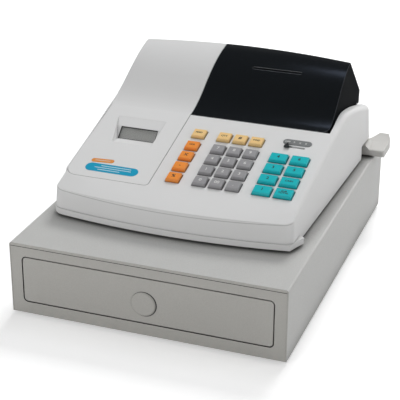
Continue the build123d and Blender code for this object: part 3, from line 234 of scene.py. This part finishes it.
# Eased edges: the normal rounded over a small radius, a mask of the edge itself for wear and
# painted highlight, and a mask of the gaps and corners, where shade is painted.
edge_group, given, made = open_group(
    "eased_edge",
    (("Radius", "NodeSocketFloat", 0.0006), ("Reach", "NodeSocketFloat", 0.004)),
    (("Normal", "NodeSocketVector"), ("Wear And Highlight", "NodeSocketFloat"), ("Painted Shade", "NodeSocketFloat")),
)
eased = edge_group.nodes.new("ShaderNodeBevel")
eased.samples = 6
edge_group.links.new(given.outputs["Radius"], eased.inputs["Radius"])
plain = edge_group.nodes.new("ShaderNodeNewGeometry")
agree = edge_group.nodes.new("ShaderNodeVectorMath")
agree.operation = "DOT_PRODUCT"
edge_group.links.new(eased.outputs["Normal"], agree.inputs[0])
edge_group.links.new(plain.outputs["Normal"], agree.inputs[1])
worn_and_lit_edge = edge_group.nodes.new("ShaderNodeMapRange")
worn_and_lit_edge.inputs["From Min"].default_value = 0.98
worn_and_lit_edge.inputs["From Max"].default_value = 0.75
edge_group.links.new(agree.outputs["Value"], worn_and_lit_edge.inputs["Value"])
edge_group.links.new(eased.outputs["Normal"], made.inputs["Normal"])
edge_group.links.new(worn_and_lit_edge.outputs["Result"], made.inputs["Wear And Highlight"])
# Ambient occlusion marks the gaps and corners that are darkened as painted shade.
hidden = edge_group.nodes.new("ShaderNodeAmbientOcclusion")
hidden.samples = 6
edge_group.links.new(given.outputs["Reach"], hidden.inputs["Distance"])
shade_ramp = edge_group.nodes.new("ShaderNodeMapRange")
shade_ramp.inputs["From Min"].default_value = 0.9
shade_ramp.inputs["From Max"].default_value = 0.25
edge_group.links.new(hidden.outputs["AO"], shade_ramp.inputs["Value"])
edge_group.links.new(shade_ramp.outputs["Result"], made.inputs["Painted Shade"])


def surface_finish(
    name,
    colour,
    rough,
    mottle=0.05,
    mottle_scale=22.0,
    grain=0.05,
    grain_scale=1100.0,
    uneven=0.08,
    bump=0.05,
    edge=0.0006,
    wear_and_highlight_colour=None,
    wear_and_highlight=0.35,
    painted_shade=0.6,
    reach=0.004,
    metal=0.0,
    coat=0.0,
    specular=0.5,
):
    """A finish with mottle, grain, eased edges with wear and painted highlight, and painted shade
    in its gaps.
    """
    material, tree, shader = finish_named(name)
    surface = tree.nodes.new("ShaderNodeGroup")
    surface.node_tree = surface_group
    surface.inputs["Colour"].default_value = (*colour, 1)
    surface.inputs["Mottle"].default_value = mottle
    surface.inputs["Mottle Scale"].default_value = mottle_scale
    surface.inputs["Grain"].default_value = grain
    surface.inputs["Grain Scale"].default_value = grain_scale
    surface.inputs["Roughness"].default_value = rough
    surface.inputs["Unevenness"].default_value = uneven
    edges = tree.nodes.new("ShaderNodeGroup")
    edges.node_tree = edge_group
    edges.inputs["Radius"].default_value = edge
    edges.inputs["Reach"].default_value = reach
    # Edges turn lighter: wear, and on the black cover a painted highlight.
    wear_and_highlight_mix = tree.nodes.new("ShaderNodeMix")
    wear_and_highlight_mix.data_type = "RGBA"
    tree.links.new(sum_of(tree, "MULTIPLY", edges.outputs["Wear And Highlight"], wear_and_highlight), wear_and_highlight_mix.inputs["Factor"])
    tree.links.new(surface.outputs["Colour"], wear_and_highlight_mix.inputs["A"])
    lighter = wear_and_highlight_colour or tuple(min(1.0, c * 1.25 + 0.03) for c in colour)
    wear_and_highlight_mix.inputs["B"].default_value = (*lighter, 1)
    # Gaps and corners turn towards a near-black copy of the colour: painted shade.
    shade_mix = tree.nodes.new("ShaderNodeMix")
    shade_mix.data_type = "RGBA"
    tree.links.new(sum_of(tree, "MULTIPLY", edges.outputs["Painted Shade"], painted_shade), shade_mix.inputs["Factor"])
    tree.links.new(wear_and_highlight_mix.outputs["Result"], shade_mix.inputs["A"])
    shade_mix.inputs["B"].default_value = (*(0.18 * c for c in colour), 1)
    relief = tree.nodes.new("ShaderNodeBump")
    relief.inputs["Strength"].default_value = bump
    relief.inputs["Distance"].default_value = 0.0004
    tree.links.new(surface.outputs["Height"], relief.inputs["Height"])
    tree.links.new(edges.outputs["Normal"], relief.inputs["Normal"])
    tree.links.new(shade_mix.outputs["Result"], shader.inputs["Base Color"])
    tree.links.new(surface.outputs["Roughness"], shader.inputs["Roughness"])
    tree.links.new(relief.outputs["Normal"], shader.inputs["Normal"])
    shader.inputs["Metallic"].default_value = metal
    shader.inputs["Coat Weight"].default_value = coat
    shader.inputs["Specular IOR Level"].default_value = specular
    return material


def dress(node, material):
    """Give a piece of the frame its finish."""
    for slot in nodes[node].material_slots:
        slot.material = material


def place_mesh(name, mesh, body, *materials):
    """Put a finished mesh in the scene on the body that carries it."""
    piece = bpy.data.objects.new(name, mesh)
    bpy.context.scene.collection.objects.link(piece)
    for material in materials:
        mesh.materials.append(material)
    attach(piece, body)
    return piece


def faired(node, name, material, sharp=32.0, join=False):
    """A joined, smoothly shaded copy of a piece of the frame, which it stands for."""
    mesh = nodes[node].data.copy()
    mesh.name = name
    shape = bmesh.new()
    shape.from_mesh(mesh)
    bmesh.ops.remove_doubles(shape, verts=shape.verts, dist=2e-6)
    if join:
        bmesh.ops.dissolve_limit(
            shape,
            angle_limit=radians(0.4),
            use_dissolve_boundaries=False,
            verts=shape.verts,
            edges=shape.edges,
            delimit=set(),
        )
    shape.to_mesh(mesh)
    shape.free()
    held = mesh.attributes.get("custom_normal")
    if held:
        mesh.attributes.remove(held)
    mesh.materials.clear()
    mesh.polygons.foreach_set("use_smooth", [True] * len(mesh.polygons))
    mesh.polygons.foreach_set("material_index", [0] * len(mesh.polygons))
    mesh.set_sharp_from_angle(angle=radians(sharp))
    piece = place_mesh(name, mesh, home[node], material)
    weighted = piece.modifiers.new("shading", "WEIGHTED_NORMAL")
    weighted.mode = "FACE_AREA_WITH_ANGLE"
    weighted.keep_sharp = True
    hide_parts(node)
    return piece


# Its gap mask reaches 24 mm and paints shade on the top in front of and beside the head.
cabinet_paint = surface_finish(
    "cabinet_speckled_paint",
    (0.565, 0.565, 0.55),
    0.42,
    mottle=0.04,
    grain=0.34,
    grain_scale=1300.0,
    bump=0.22,
    edge=0.0005,
    wear_and_highlight=0.25,
    painted_shade=0.85,
    reach=0.024,
)
hood = faired("cabinet_wrap", "cabinet_hood", cabinet_paint)
# Its strong gap mask paints shade in the drawer's gaps.
front_paint = surface_finish(
    "front_speckled_paint",
    (0.50, 0.49, 0.46),
    0.44,
    mottle=0.04,
    grain=0.26,
    grain_scale=1300.0,
    bump=0.22,
    edge=0.0005,
    wear_and_highlight=0.25,
    painted_shade=0.95,
    reach=0.005,
)
# The hood's faces that look straight forward take the darker front paint: painted shade by facing.
hood.data.materials.append(front_paint)
for face in hood.data.polygons:
    if face.normal.y < -0.9:
        face.material_index = 1
hood_low, hood_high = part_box("cabinet_wrap")
middle_x = (hood_low[0] + hood_high[0]) / 2

# The rim of the drawer's opening in the front frame is painted near black: painted shade in the
# gap.
frame_steel = faired("cabinet_chassis", "cabinet_frame", front_paint)
painted_gap_shade = surface_finish("painted_gap_shade", (0.05, 0.05, 0.048), 0.7, grain=0.1, edge=0.0002)
frame_steel.data.materials.append(painted_gap_shade)
rim_half_wide, rim_low, rim_high, rim_behind = 0.1487, 0.0179, 0.0759, -0.2002
for face in frame_steel.data.polygons:
    middle = face.center
    within = abs(middle.x - middle_x) < rim_half_wide and rim_low < middle.z < rim_high
    if within and middle.y < rim_behind and abs(face.normal.y) < 0.3:
        face.material_index = 1


def place_shape(name, shape, body, *materials):
    """Put a finished bmesh in the scene on the body that carries it."""
    mesh = bpy.data.meshes.new(name)
    shape.to_mesh(mesh)
    shape.free()
    return place_mesh(name, mesh, body, *materials)


def raised(shape, faces, by):
    """Extrude faces, move the new ones and give their corners."""
    grown = bmesh.ops.extrude_face_region(shape, geom=faces)
    corners = [item for item in grown["geom"] if isinstance(item, bmesh.types.BMVert)]
    bmesh.ops.translate(shape, vec=by, verts=corners)
    return corners


# A thin near-black strip below the hood's lip: a painted shadow line in the joint.
shadow_strip = bmesh.new()
bmesh.ops.create_cube(shadow_strip, size=1)
bmesh.ops.scale(shadow_strip, vec=(0.3222, 0.0004, 0.0007), verts=shadow_strip.verts)
bmesh.ops.bevel(
    shadow_strip,
    geom=shadow_strip.edges[:],
    offset=0.00008,
    affect="EDGES",
    segments=2,
    profile=0.5,
    material=-1,
)
bmesh.ops.translate(shadow_strip, vec=(middle_x, -0.21398, 0.08715), verts=shadow_strip.verts)
place_shape("hood_shadow_strip", shadow_strip, home["cabinet_wrap"], painted_gap_shade)

# Four pan-head screws hold the hood to the rear of the chassis.
screw_steel = surface_finish(
    "screw_steel", (0.50, 0.50, 0.51), 0.35, mottle=0.2, grain=0.1, metal=0.9, edge=0.0001
)


screw_r, screw_tall, screw_round = 0.0032, 0.0017, 0.0009
cross_half, cross_reach, cross_deep = 0.0004, 0.0017, 0.0009


def pan_screw(name, place, body):
    """A cross-headed pan screw, its head standing along the place's third axis."""
    head = bmesh.new()
    bmesh.ops.create_circle(head, cap_ends=True, radius=screw_r, segments=24)
    raised(head, head.faces[:], (0, 0, screw_tall))
    rim = [edge for edge in head.edges if all(vert.co.z > screw_tall / 2 for vert in edge.verts)]
    bmesh.ops.bevel(
        head, geom=rim, offset=screw_round, affect="EDGES", segments=4, profile=0.5, material=-1
    )
    for axis in ((1, 0, 0), (0, 1, 0)):
        for offset in (-cross_half, cross_half, -cross_reach, cross_reach):
            bmesh.ops.bisect_plane(
                head,
                geom=head.verts[:] + head.edges[:] + head.faces[:],
                plane_co=tuple(offset * part for part in axis),
                plane_no=axis,
            )
    cross = []
    for face in head.faces:
        middle = face.calc_center_median()
        narrow, wide = sorted((abs(middle.x), abs(middle.y)))
        on_top = middle.z > screw_tall - 0.00002
        if on_top and narrow < cross_half and wide < cross_reach:
            cross.append(face)
    raised(head, cross, (0, 0, -cross_deep))
    bmesh.ops.delete(head, geom=[face for face in cross if face.is_valid], context="FACES")
    bmesh.ops.recalc_face_normals(head, faces=head.faces)
    head.transform(place)
    return place_shape(name, head, body, screw_steel)


facing_back = Matrix.Rotation(radians(-90), 4, "X")
screw_x, screw_y = 0.148, 0.21404
screw_spots = [(side * screw_x, high) for high in (0.016, 0.079) for side in (-1, 1)]
for number, (across, high) in enumerate(screw_spots):
    pan_screw(
        f"hood_screw_{number}",
        Matrix.Translation((middle_x + across, screw_y, high)) @ facing_back,
        home["cabinet_chassis"],
    )

# ---- Rubber feet ---------------------------------------------------------------------------
# Four round feet moulded in black rubber and pressed into the bottom plate. They are slightly
# scuffed, with painted shade in their creases.
foot_rubber = surface_finish(
    "foot_rubber", (0.022, 0.022, 0.023), 0.75, mottle=0.3, mottle_scale=90, grain=0.2, bump=0.12
)
faired("rubber_feet", "rubber_feet_set", foot_rubber)

# ---- Rails and drawer body -----------------------------------------------------------------
# Bright zinc-plated sheet: rolled channels on the cabinet, and the folded drawer that runs in
# them on its turned-out edges.
zinc = surface_finish(
    "zinc_plate",
    (0.58, 0.60, 0.62),
    0.34,
    mottle=0.22,
    mottle_scale=60.0,
    grain=0.08,
    grain_scale=500.0,
    uneven=0.2,
    bump=0.05,
    metal=0.85,
    edge=0.0003,
)
for node in ("cabinet_rails", "drawer_tray", "latch_solenoid", "latch_hook"):
    dress(node, zinc)

# ---- Drawer front and blank plug -----------------------------------------------------------
# The drawer's painted steel front, flush in its frame, with a plain round plug where a lock
# would go.
dress("drawer_front", front_paint)
faired("lock_plug", "blank_lock_plug", front_paint)

# A near-black ring, a little off the plug's middle, paints the crescent of shadow beside its rim.
plug_low, plug_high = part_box("lock_plug")
shade_ring_r, shade_ring_grow, shade_ring_deep = 0.0136, 1.118, 0.0001
shade_ring_spot = (
    (plug_low[0] + plug_high[0]) / 2 + 0.00075,
    -0.21420,
    (plug_low[2] + plug_high[2]) / 2 + 0.00012,
)
shade_ring = bmesh.new()
bmesh.ops.create_circle(shade_ring, cap_ends=False, radius=shade_ring_r, segments=64)
outline = bmesh.ops.extrude_edge_only(shade_ring, edges=shade_ring.edges[:])
outer = [item for item in outline["geom"] if isinstance(item, bmesh.types.BMVert)]
bmesh.ops.scale(shade_ring, vec=(shade_ring_grow, shade_ring_grow, 1), verts=outer)
raised(shade_ring, shade_ring.faces[:], (0, 0, shade_ring_deep))
bmesh.ops.recalc_face_normals(shade_ring, faces=shade_ring.faces)
shade_ring.transform(Matrix.Translation(shade_ring_spot) @ Matrix.Rotation(radians(90), 4, "X"))
place_shape("plug_shade_ring", shade_ring, home["lock_plug"], painted_gap_shade)

# ---- Coin and note trays -------------------------------------------------------------------
# Black polystyrene inserts with a fine moulded texture: cups for coins in front, bays for
# notes behind, each bay with a sprung clip on a pin.
tray_black = surface_finish(
    "tray_black_plastic",
    (0.035, 0.035, 0.038),
    0.48,
    mottle=0.15,
    grain=0.25,
    grain_scale=1500.0,
    bump=0.14,
    edge=0.0006,
)
faired("coin_tray", "coin_cups", tray_black)
dress("note_tray", tray_black)
clip_black = surface_finish(
    "clip_black_plastic", (0.05, 0.05, 0.054), 0.36, mottle=0.12, grain=0.1, edge=0.0006
)
for number in range(1, 5):
    faired(f"note_clip_{number}", f"note_holder_{number}", clip_black)

# ---- Base pan, circuit board and transformer -----------------------------------------------
# The head's moulded base, with the main board on its posts and the mains transformer beside
# it.


def off_white_moulding(name):
    """The satin off-white of the head's mouldings."""
    return surface_finish(
        name,
        (0.80, 0.80, 0.795),
        0.46,
        mottle=0.025,
        mottle_scale=9.0,
        grain=0.035,
        grain_scale=1800.0,
        uneven=0.06,
        bump=0.07,
        edge=0.0009,
        wear_and_highlight=0.1,
        specular=0.4,
    )


case_white = off_white_moulding("case_off_white")
faired("base_pan", "head_base", case_white)
board_green = surface_finish(
    "board_green",
    (0.045, 0.16, 0.085),
    0.35,
    mottle=0.35,
    mottle_scale=160.0,
    grain=0.15,
    grain_scale=900.0,
    coat=0.3,
    edge=0.0002,
)
dress("main_board", board_green)
core_steel = surface_finish(
    "core_steel", (0.12, 0.12, 0.125), 0.5, mottle=0.2, grain=0.2, metal=0.4, edge=0.0004
)
dress("transformer", core_steel)

# ---- Upper housing -------------------------------------------------------------------------
# One large off-white moulding: bowed front, sloping key deck and the cheeks beside the tower.
# A low plate above the mode switch is painted grey and carries the printed index marks.
housing_white = off_white_moulding("housing_off_white")
housing = faired("upper_housing", "head_housing", housing_white)

# The key deck's foot, its slope, the way up it and the way out of it.
lean = atan(0.25)
deck_foot = Vector((middle_x, -0.11925, 0.130))
deck_along = Vector((0, cos(lean), sin(lean)))
deck_out = Vector((0, -sin(lean), cos(lean)))


def on_deck(across, along, out=0.0):
    """The transform of a spot on the key deck, with its third axis standing out of it."""
    spot = deck_foot + Vector((across, 0, 0)) + deck_along * along + deck_out * out
    return Matrix((
        (1, 0, 0, spot.x),
        (0, deck_along.y, deck_out.y, spot.y),
        (0, deck_along.z, deck_out.z, spot.z),
        (0, 0, 0, 1),
    ))


# A fine dark line is painted along the top of the front skirt, a little below the deck's plane,
# on the faces that look forward.
skirt_line_drop = 0.0043
tree = housing_white.node_tree
shader = tree.nodes["Principled BSDF"]
where = tree.nodes.new("ShaderNodeTexCoord")
below = tree.nodes.new("ShaderNodeVectorMath")
below.operation = "DOT_PRODUCT"
tree.links.new(where.outputs["Object"], below.inputs[0])
below.inputs[1].default_value = deck_out
from_line = sum_of(tree, "SUBTRACT", below.outputs["Value"], deck_foot.dot(deck_out) - skirt_line_drop)
line = tree.nodes.new("ShaderNodeMapRange")
line.inputs["From Min"].default_value = 0.00055
line.inputs["From Max"].default_value = 0.00025
tree.links.new(sum_of(tree, "ABSOLUTE", from_line, 0.0), line.inputs["Value"])
facing = tree.nodes.new("ShaderNodeNewGeometry")
parts = tree.nodes.new("ShaderNodeSeparateXYZ")
tree.links.new(facing.outputs["Normal"], parts.inputs[0])
front_only = tree.nodes.new("ShaderNodeMapRange")
front_only.inputs["From Min"].default_value = -0.55
front_only.inputs["From Max"].default_value = -0.75
tree.links.new(parts.outputs["Y"], front_only.inputs["Value"])
shown = sum_of(tree, "MULTIPLY", line.outputs["Result"], front_only.outputs["Result"])
line_mix = tree.nodes.new("ShaderNodeMix")
line_mix.data_type = "RGBA"
tree.links.new(sum_of(tree, "MULTIPLY", shown, 0.45), line_mix.inputs["Factor"])
tree.links.new(shader.inputs["Base Color"].links[0].from_socket, line_mix.inputs["A"])
line_mix.inputs["B"].default_value = (0.25, 0.25, 0.24, 1)
tree.links.new(line_mix.outputs["Result"], shader.inputs["Base Color"])


def printed(name, words, height, place, body, ink, thick=0.00004):
    """Print on a surface: lettering as a skin of ink, centred on its place."""
    line = bpy.data.curves.new(name, "FONT")
    line.body = words
    line.size = height
    line.align_x = "CENTER"
    line.align_y = "CENTER"
    line.space_line = 0.8
    line.resolution_u = 3
    line.offset = 0.025 * height
    line.extrude = thick
    draft = bpy.data.objects.new(name + "_draft", line)
    mesh = bpy.data.meshes.new_from_object(draft)
    bpy.data.objects.remove(draft)
    mesh.name = name
    mesh.transform(place)
    return place_mesh(name, mesh, body, ink)


plate_grey = surface_finish(
    "index_plate_grey", (0.215, 0.225, 0.225), 0.5, mottle=0.06, grain=0.08, edge=0.0004
)
housing.data.materials.append(plate_grey)
plate_left, plate_right, plate_foot, plate_head = 0.084, 0.125, 0.1265, 0.1385
from_deck = on_deck(0, 0).inverted()
for face in housing.data.polygons:
    across, along, out = from_deck @ face.center
    if plate_left < across < plate_right and plate_foot < along < plate_head and out > 0.0001:
        face.material_index = 1
ink_white = surface_finish("ink_white", (0.72, 0.72, 0.70), 0.55, grain=0.1, edge=0.0001)
ink_dark = surface_finish("ink_dark", (0.035, 0.03, 0.03), 0.5, grain=0.1, edge=0.0001)
index_tall, index_along, index_out = 0.0036, 0.1325, 0.00062
for mark, across in (("OFF", 0.0925), ("R", 0.1005), ("X", 0.1075), ("Z", 0.1145)):
    spot = on_deck(across, index_along, index_out)
    printed("index_" + mark, mark, index_tall, spot, home["upper_housing"], ink_white)

# ---- Display panel -------------------------------------------------------------------------
# The leaning off-white moulding that carries the operator's display in a recess, clipped into
# the housing with an even shadow gap.
faired("display_panel", "operator_panel", case_white)
lcd_grey = surface_finish(
    "lcd_grey",
    (0.58, 0.585, 0.565),
    0.3,
    painted_shade=0.0,
    mottle=0.08,
    grain=0.04,
    grain_scale=1500.0,
    bump=0.02,
    edge=0.0002,
)
dress("lcd_module", lcd_grey)


def clear_window(name, colour, alpha):
    """Clear hard-coated plastic that lets the screen behind it show."""
    material = surface_finish(
        name, colour, 0.12, mottle=0.1, grain=0.02, bump=0.01, edge=0.0003, painted_shade=0.0
    )
    shader = material.node_tree.nodes["Principled BSDF"]
    shader.inputs["Alpha"].default_value = alpha
    shader.inputs["Coat Weight"].default_value = 0.5
    return material


dress("display_window", clear_window("operator_window", (0.5, 0.505, 0.49), 0.3))

# A thin black seal frames the leaning window; it also stands in for the shade at the recess's
# edges.
window_lean = Vector((0, 0.0147, 0.0118)).normalized()
window_out = Vector((0, -window_lean.z, window_lean.y))
window_middle = Vector((-0.09875, -0.0071, 0.1517))
seal_wide, seal_tall, seal_rim, seal_thick, seal_sunk = 0.0479, 0.0171, 0.0008, 0.0005, 0.00119
seal_and_shade_black = surface_finish("seal_and_shade_black", (0.03, 0.03, 0.032), 0.6, grain=0.1, edge=0.0001)
seal = bmesh.new()
bmesh.ops.create_grid(seal, x_segments=1, y_segments=1, size=0.5)
bmesh.ops.scale(seal, vec=(seal_wide, seal_tall, 1), verts=seal.verts)
rim_faces = bmesh.ops.inset_region(
    seal, faces=seal.faces[:], thickness=seal_rim, use_boundary=True, use_even_offset=True
)["faces"]
bmesh.ops.delete(seal, geom=[face for face in seal.faces if face not in rim_faces], context="FACES")
raised(seal, seal.faces[:], (0, 0, seal_thick))
bmesh.ops.recalc_face_normals(seal, faces=seal.faces)
seal_spot = window_middle - window_out * seal_sunk
seal.transform(Matrix((
    (1, 0, 0, seal_spot.x),
    (0, window_lean.y, window_out.y, seal_spot.y),
    (0, window_lean.z, window_out.z, seal_spot.z),
    (0, 0, 0, 1),
)))
place_shape("window_seal", seal, home["display_panel"], seal_and_shade_black)

# ---- Blank label ---------------------------------------------------------------------------
# Two foil labels in front of the display, a blue capsule and a small orange one, printed with
# plain lines and stuck on the panel.
panel_skin = BVHTree.FromPolygons(
    [vert.co for vert in nodes["display_panel"].data.vertices],
    [tuple(face.vertices) for face in nodes["display_panel"].data.polygons],
)


def stuck_on(name, middle, long, wide, turn, lift, thick, finish):
    """A round-ended foil, laid on the panel's surface."""
    foil = bmesh.new()
    bmesh.ops.create_circle(foil, cap_ends=True, radius=wide / 2, segments=40)
    for vert in foil.verts:
        if abs(vert.co.x) > 1e-7:
            vert.co.x += (long - wide) / 2 * (1 if vert.co.x > 0 else -1)
    bmesh.ops.rotate(foil, verts=foil.verts, cent=(0, 0, 0), matrix=Matrix.Rotation(turn, 3, "Z"))
    bmesh.ops.translate(foil, verts=foil.verts, vec=(middle[0], middle[1], 0))
    top = raised(foil, foil.faces[:], (0, 0, 0))
    for vert in foil.verts:
        ground = panel_skin.ray_cast(Vector((vert.co.x, vert.co.y, 0.4)), Vector((0, 0, -1)))[0]
        vert.co.z = ground.z + (lift + thick if vert in top else lift - 0.0002)
    bmesh.ops.recalc_face_normals(foil, faces=foil.faces)
    return place_shape(name, foil, home["display_panel"], finish)


label_blue = surface_finish(
    "label_blue", (0.0, 0.36, 0.58), 0.35, mottle=0.1, grain=0.06, coat=0.2, edge=0.0001
)
label_orange = surface_finish(
    "label_orange", (0.82, 0.31, 0.06), 0.35, mottle=0.1, grain=0.06, coat=0.2, edge=0.0001
)
label_pale = surface_finish(
    "label_pale", (0.62, 0.80, 0.86), 0.35, mottle=0.05, grain=0.06, edge=0.0001
)
capsule_thick, accent_thick, print_thick = 0.00018, 0.00026, 0.00005
accent_middle, accent_turn = (-0.1155, -0.0742), radians(4)
stuck_on(
    "label_capsule", (-0.09875, -0.08725), 0.066, 0.0145, 0, 0, capsule_thick, label_blue
)
stuck_on(
    "label_accent", accent_middle, 0.028, 0.0064, accent_turn, 0, accent_thick, label_orange
)
for number, (across, along, long) in enumerate(
    ((-0.0945, -0.0836, 0.038), (-0.0975, -0.0872, 0.046), (-0.1015, -0.0908, 0.028))
):
    spot = (across, along)
    stuck_on(
        f"label_line_{number}", spot, long, 0.0011, 0, capsule_thick, print_thick, label_pale
    )
stuck_on(
    "label_stroke", accent_middle, 0.019, 0.0009, accent_turn, accent_thick, print_thick, ink_white
)

# ---- Printer cover -------------------------------------------------------------------------
# Black gloss moulding, swept up to the ridge and hinged at the back, with the receipt slot
# across it.
# Both black finishes paint a pale blue-grey highlight along the cover's edges.
cover_black = surface_finish(
    "cover_black_gloss",
    (0.006, 0.008, 0.010),
    0.16,
    mottle=0.2,
    grain=0.1,
    uneven=0.06,
    bump=0.012,
    edge=0.0009,
    wear_and_highlight_colour=(0.26, 0.28, 0.31),
    wear_and_highlight=0.8,
    specular=0.5,
)
cover_satin = surface_finish(
    "cover_black_satin",
    (0.006, 0.007, 0.008),
    0.7,
    mottle=0.2,
    grain=0.2,
    bump=0.06,
    edge=0.0009,
    wear_and_highlight_colour=(0.26, 0.28, 0.31),
    wear_and_highlight=0.8,
    specular=0.02,
)
cover = faired("printer_cover", "paper_cover", cover_black)
cover.data.materials.append(cover_satin)
for face in cover.data.polygons:
    if face.normal.x > 0.8 or face.normal.y > 0.5:
        face.material_index = 1

# ---- Keyboard ------------------------------------------------------------------------------
# Keycaps moulded in four colours on square stems, guided by a plate under the deck, over the
# contact board.
grey_plastic = surface_finish("guide_grey_plastic", (0.30, 0.30, 0.31), 0.5, edge=0.0004)
dress("keyboard_frame", grey_plastic)
dress("keyboard_board", board_green)
key_colours = {
    "key_function": ("key_orange_plastic", (0.95, 0.31, 0.045)),
    "key_feed": ("key_cream_plastic", (0.95, 0.65, 0.28)),
    "key_menu": ("key_cream_plastic", (0.95, 0.65, 0.28)),
    "key_digit": ("key_grey_plastic", (0.345, 0.34, 0.35)),
    "key_department": ("key_teal_plastic", (0.0, 0.51, 0.56)),
}
legends = {
    "key_function": ("%", "-", "X", "CLR"),
    "key_feed": ("FEED",),
    "key_menu": ("QTY", "#", "VOID"),
    "key_digit": ("0", "00", ".", "1", "2", "3", "4", "5", "6", "7", "8", "9"),
    "key_department": ("1", "SUB\nTOTAL", "2", "CASH", "3", "5", "4", "6"),
}
sign_tall, word_tall = 0.0064, 0.0038
key_finishes = {}
for family, (finish, colour) in key_colours.items():
    if finish not in key_finishes:
        # Each cap colour's gap mask paints shade at the foot of the caps.
        key_finishes[finish] = surface_finish(
            finish,
            colour,
            0.4,
            mottle=0.03,
            grain=0.04,
            bump=0.05,
            edge=0.0004,
            wear_and_highlight=0.2,
            painted_shade=0.75,
        )
    set_of_keys = [node for node in nodes if node.startswith(family)]
    set_of_keys.sort(key=lambda node: (round(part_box(node)[0][1], 3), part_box(node)[0][0]))
    for node, legend in zip(set_of_keys, legends[family]):
        faired(node, node + "_cap", key_finishes[finish], join=True)
        corners = [from_deck @ vert.co for vert in nodes[node].data.vertices]
        crest = max(corner.z for corner in corners)
        top = [corner for corner in corners if corner.z > crest - 0.0001]
        spot = on_deck(
            (min(c.x for c in top) + max(c.x for c in top)) / 2,
            (min(c.y for c in top) + max(c.y for c in top)) / 2,
            crest,
        )
        tall = sign_tall if len(legend) < 3 else word_tall
        ink = ink_white if family == "key_digit" else ink_dark
        printed(node + "_legend", legend, tall, spot, home[node], ink)

# ---- Mode switch ---------------------------------------------------------------------------
# Pointer knob moulded in black plastic. Its flat stem slides along the slot in the deck, below
# the index marks.
knob_black = surface_finish("knob_black_plastic", (0.018, 0.018, 0.02), 0.4, edge=0.0005)
faired("mode_knob", "mode_pointer", knob_black)

# ---- Printer -------------------------------------------------------------------------------
# Receipt printer under the cover: plated side plates, rubber platen and the paper roll on
# its spindle.
dress("printer_frame", zinc)
faired("platen_roller", "rubber_platen", foot_rubber)
dress("roll_spindle", grey_plastic)
paper_white = surface_finish(
    "paper_white", (0.86, 0.86, 0.84), 0.8, mottle=0.03, grain=0.05, bump=0.05, edge=0.0002
)
faired("paper_roll", "receipt_roll", paper_white)

# ---- Customer display ----------------------------------------------------------------------
# Warm white moulded pod that tilts on a pin at the rear right corner, with a dark tinted window
# in its rear face, towards the customer.
pod_beige = surface_finish(
    "pod_warm_white",
    (0.66, 0.65, 0.625),
    0.5,
    mottle=0.03,
    mottle_scale=12.0,
    grain=0.05,
    grain_scale=1800.0,
    bump=0.07,
    edge=0.0007,
    wear_and_highlight=0.1,
    painted_shade=0.7,
    specular=0.4,
)
faired("customer_display", "customer_pod", pod_beige)
dress("customer_window", clear_window("customer_window_tint", (0.03, 0.035, 0.035), 0.92))
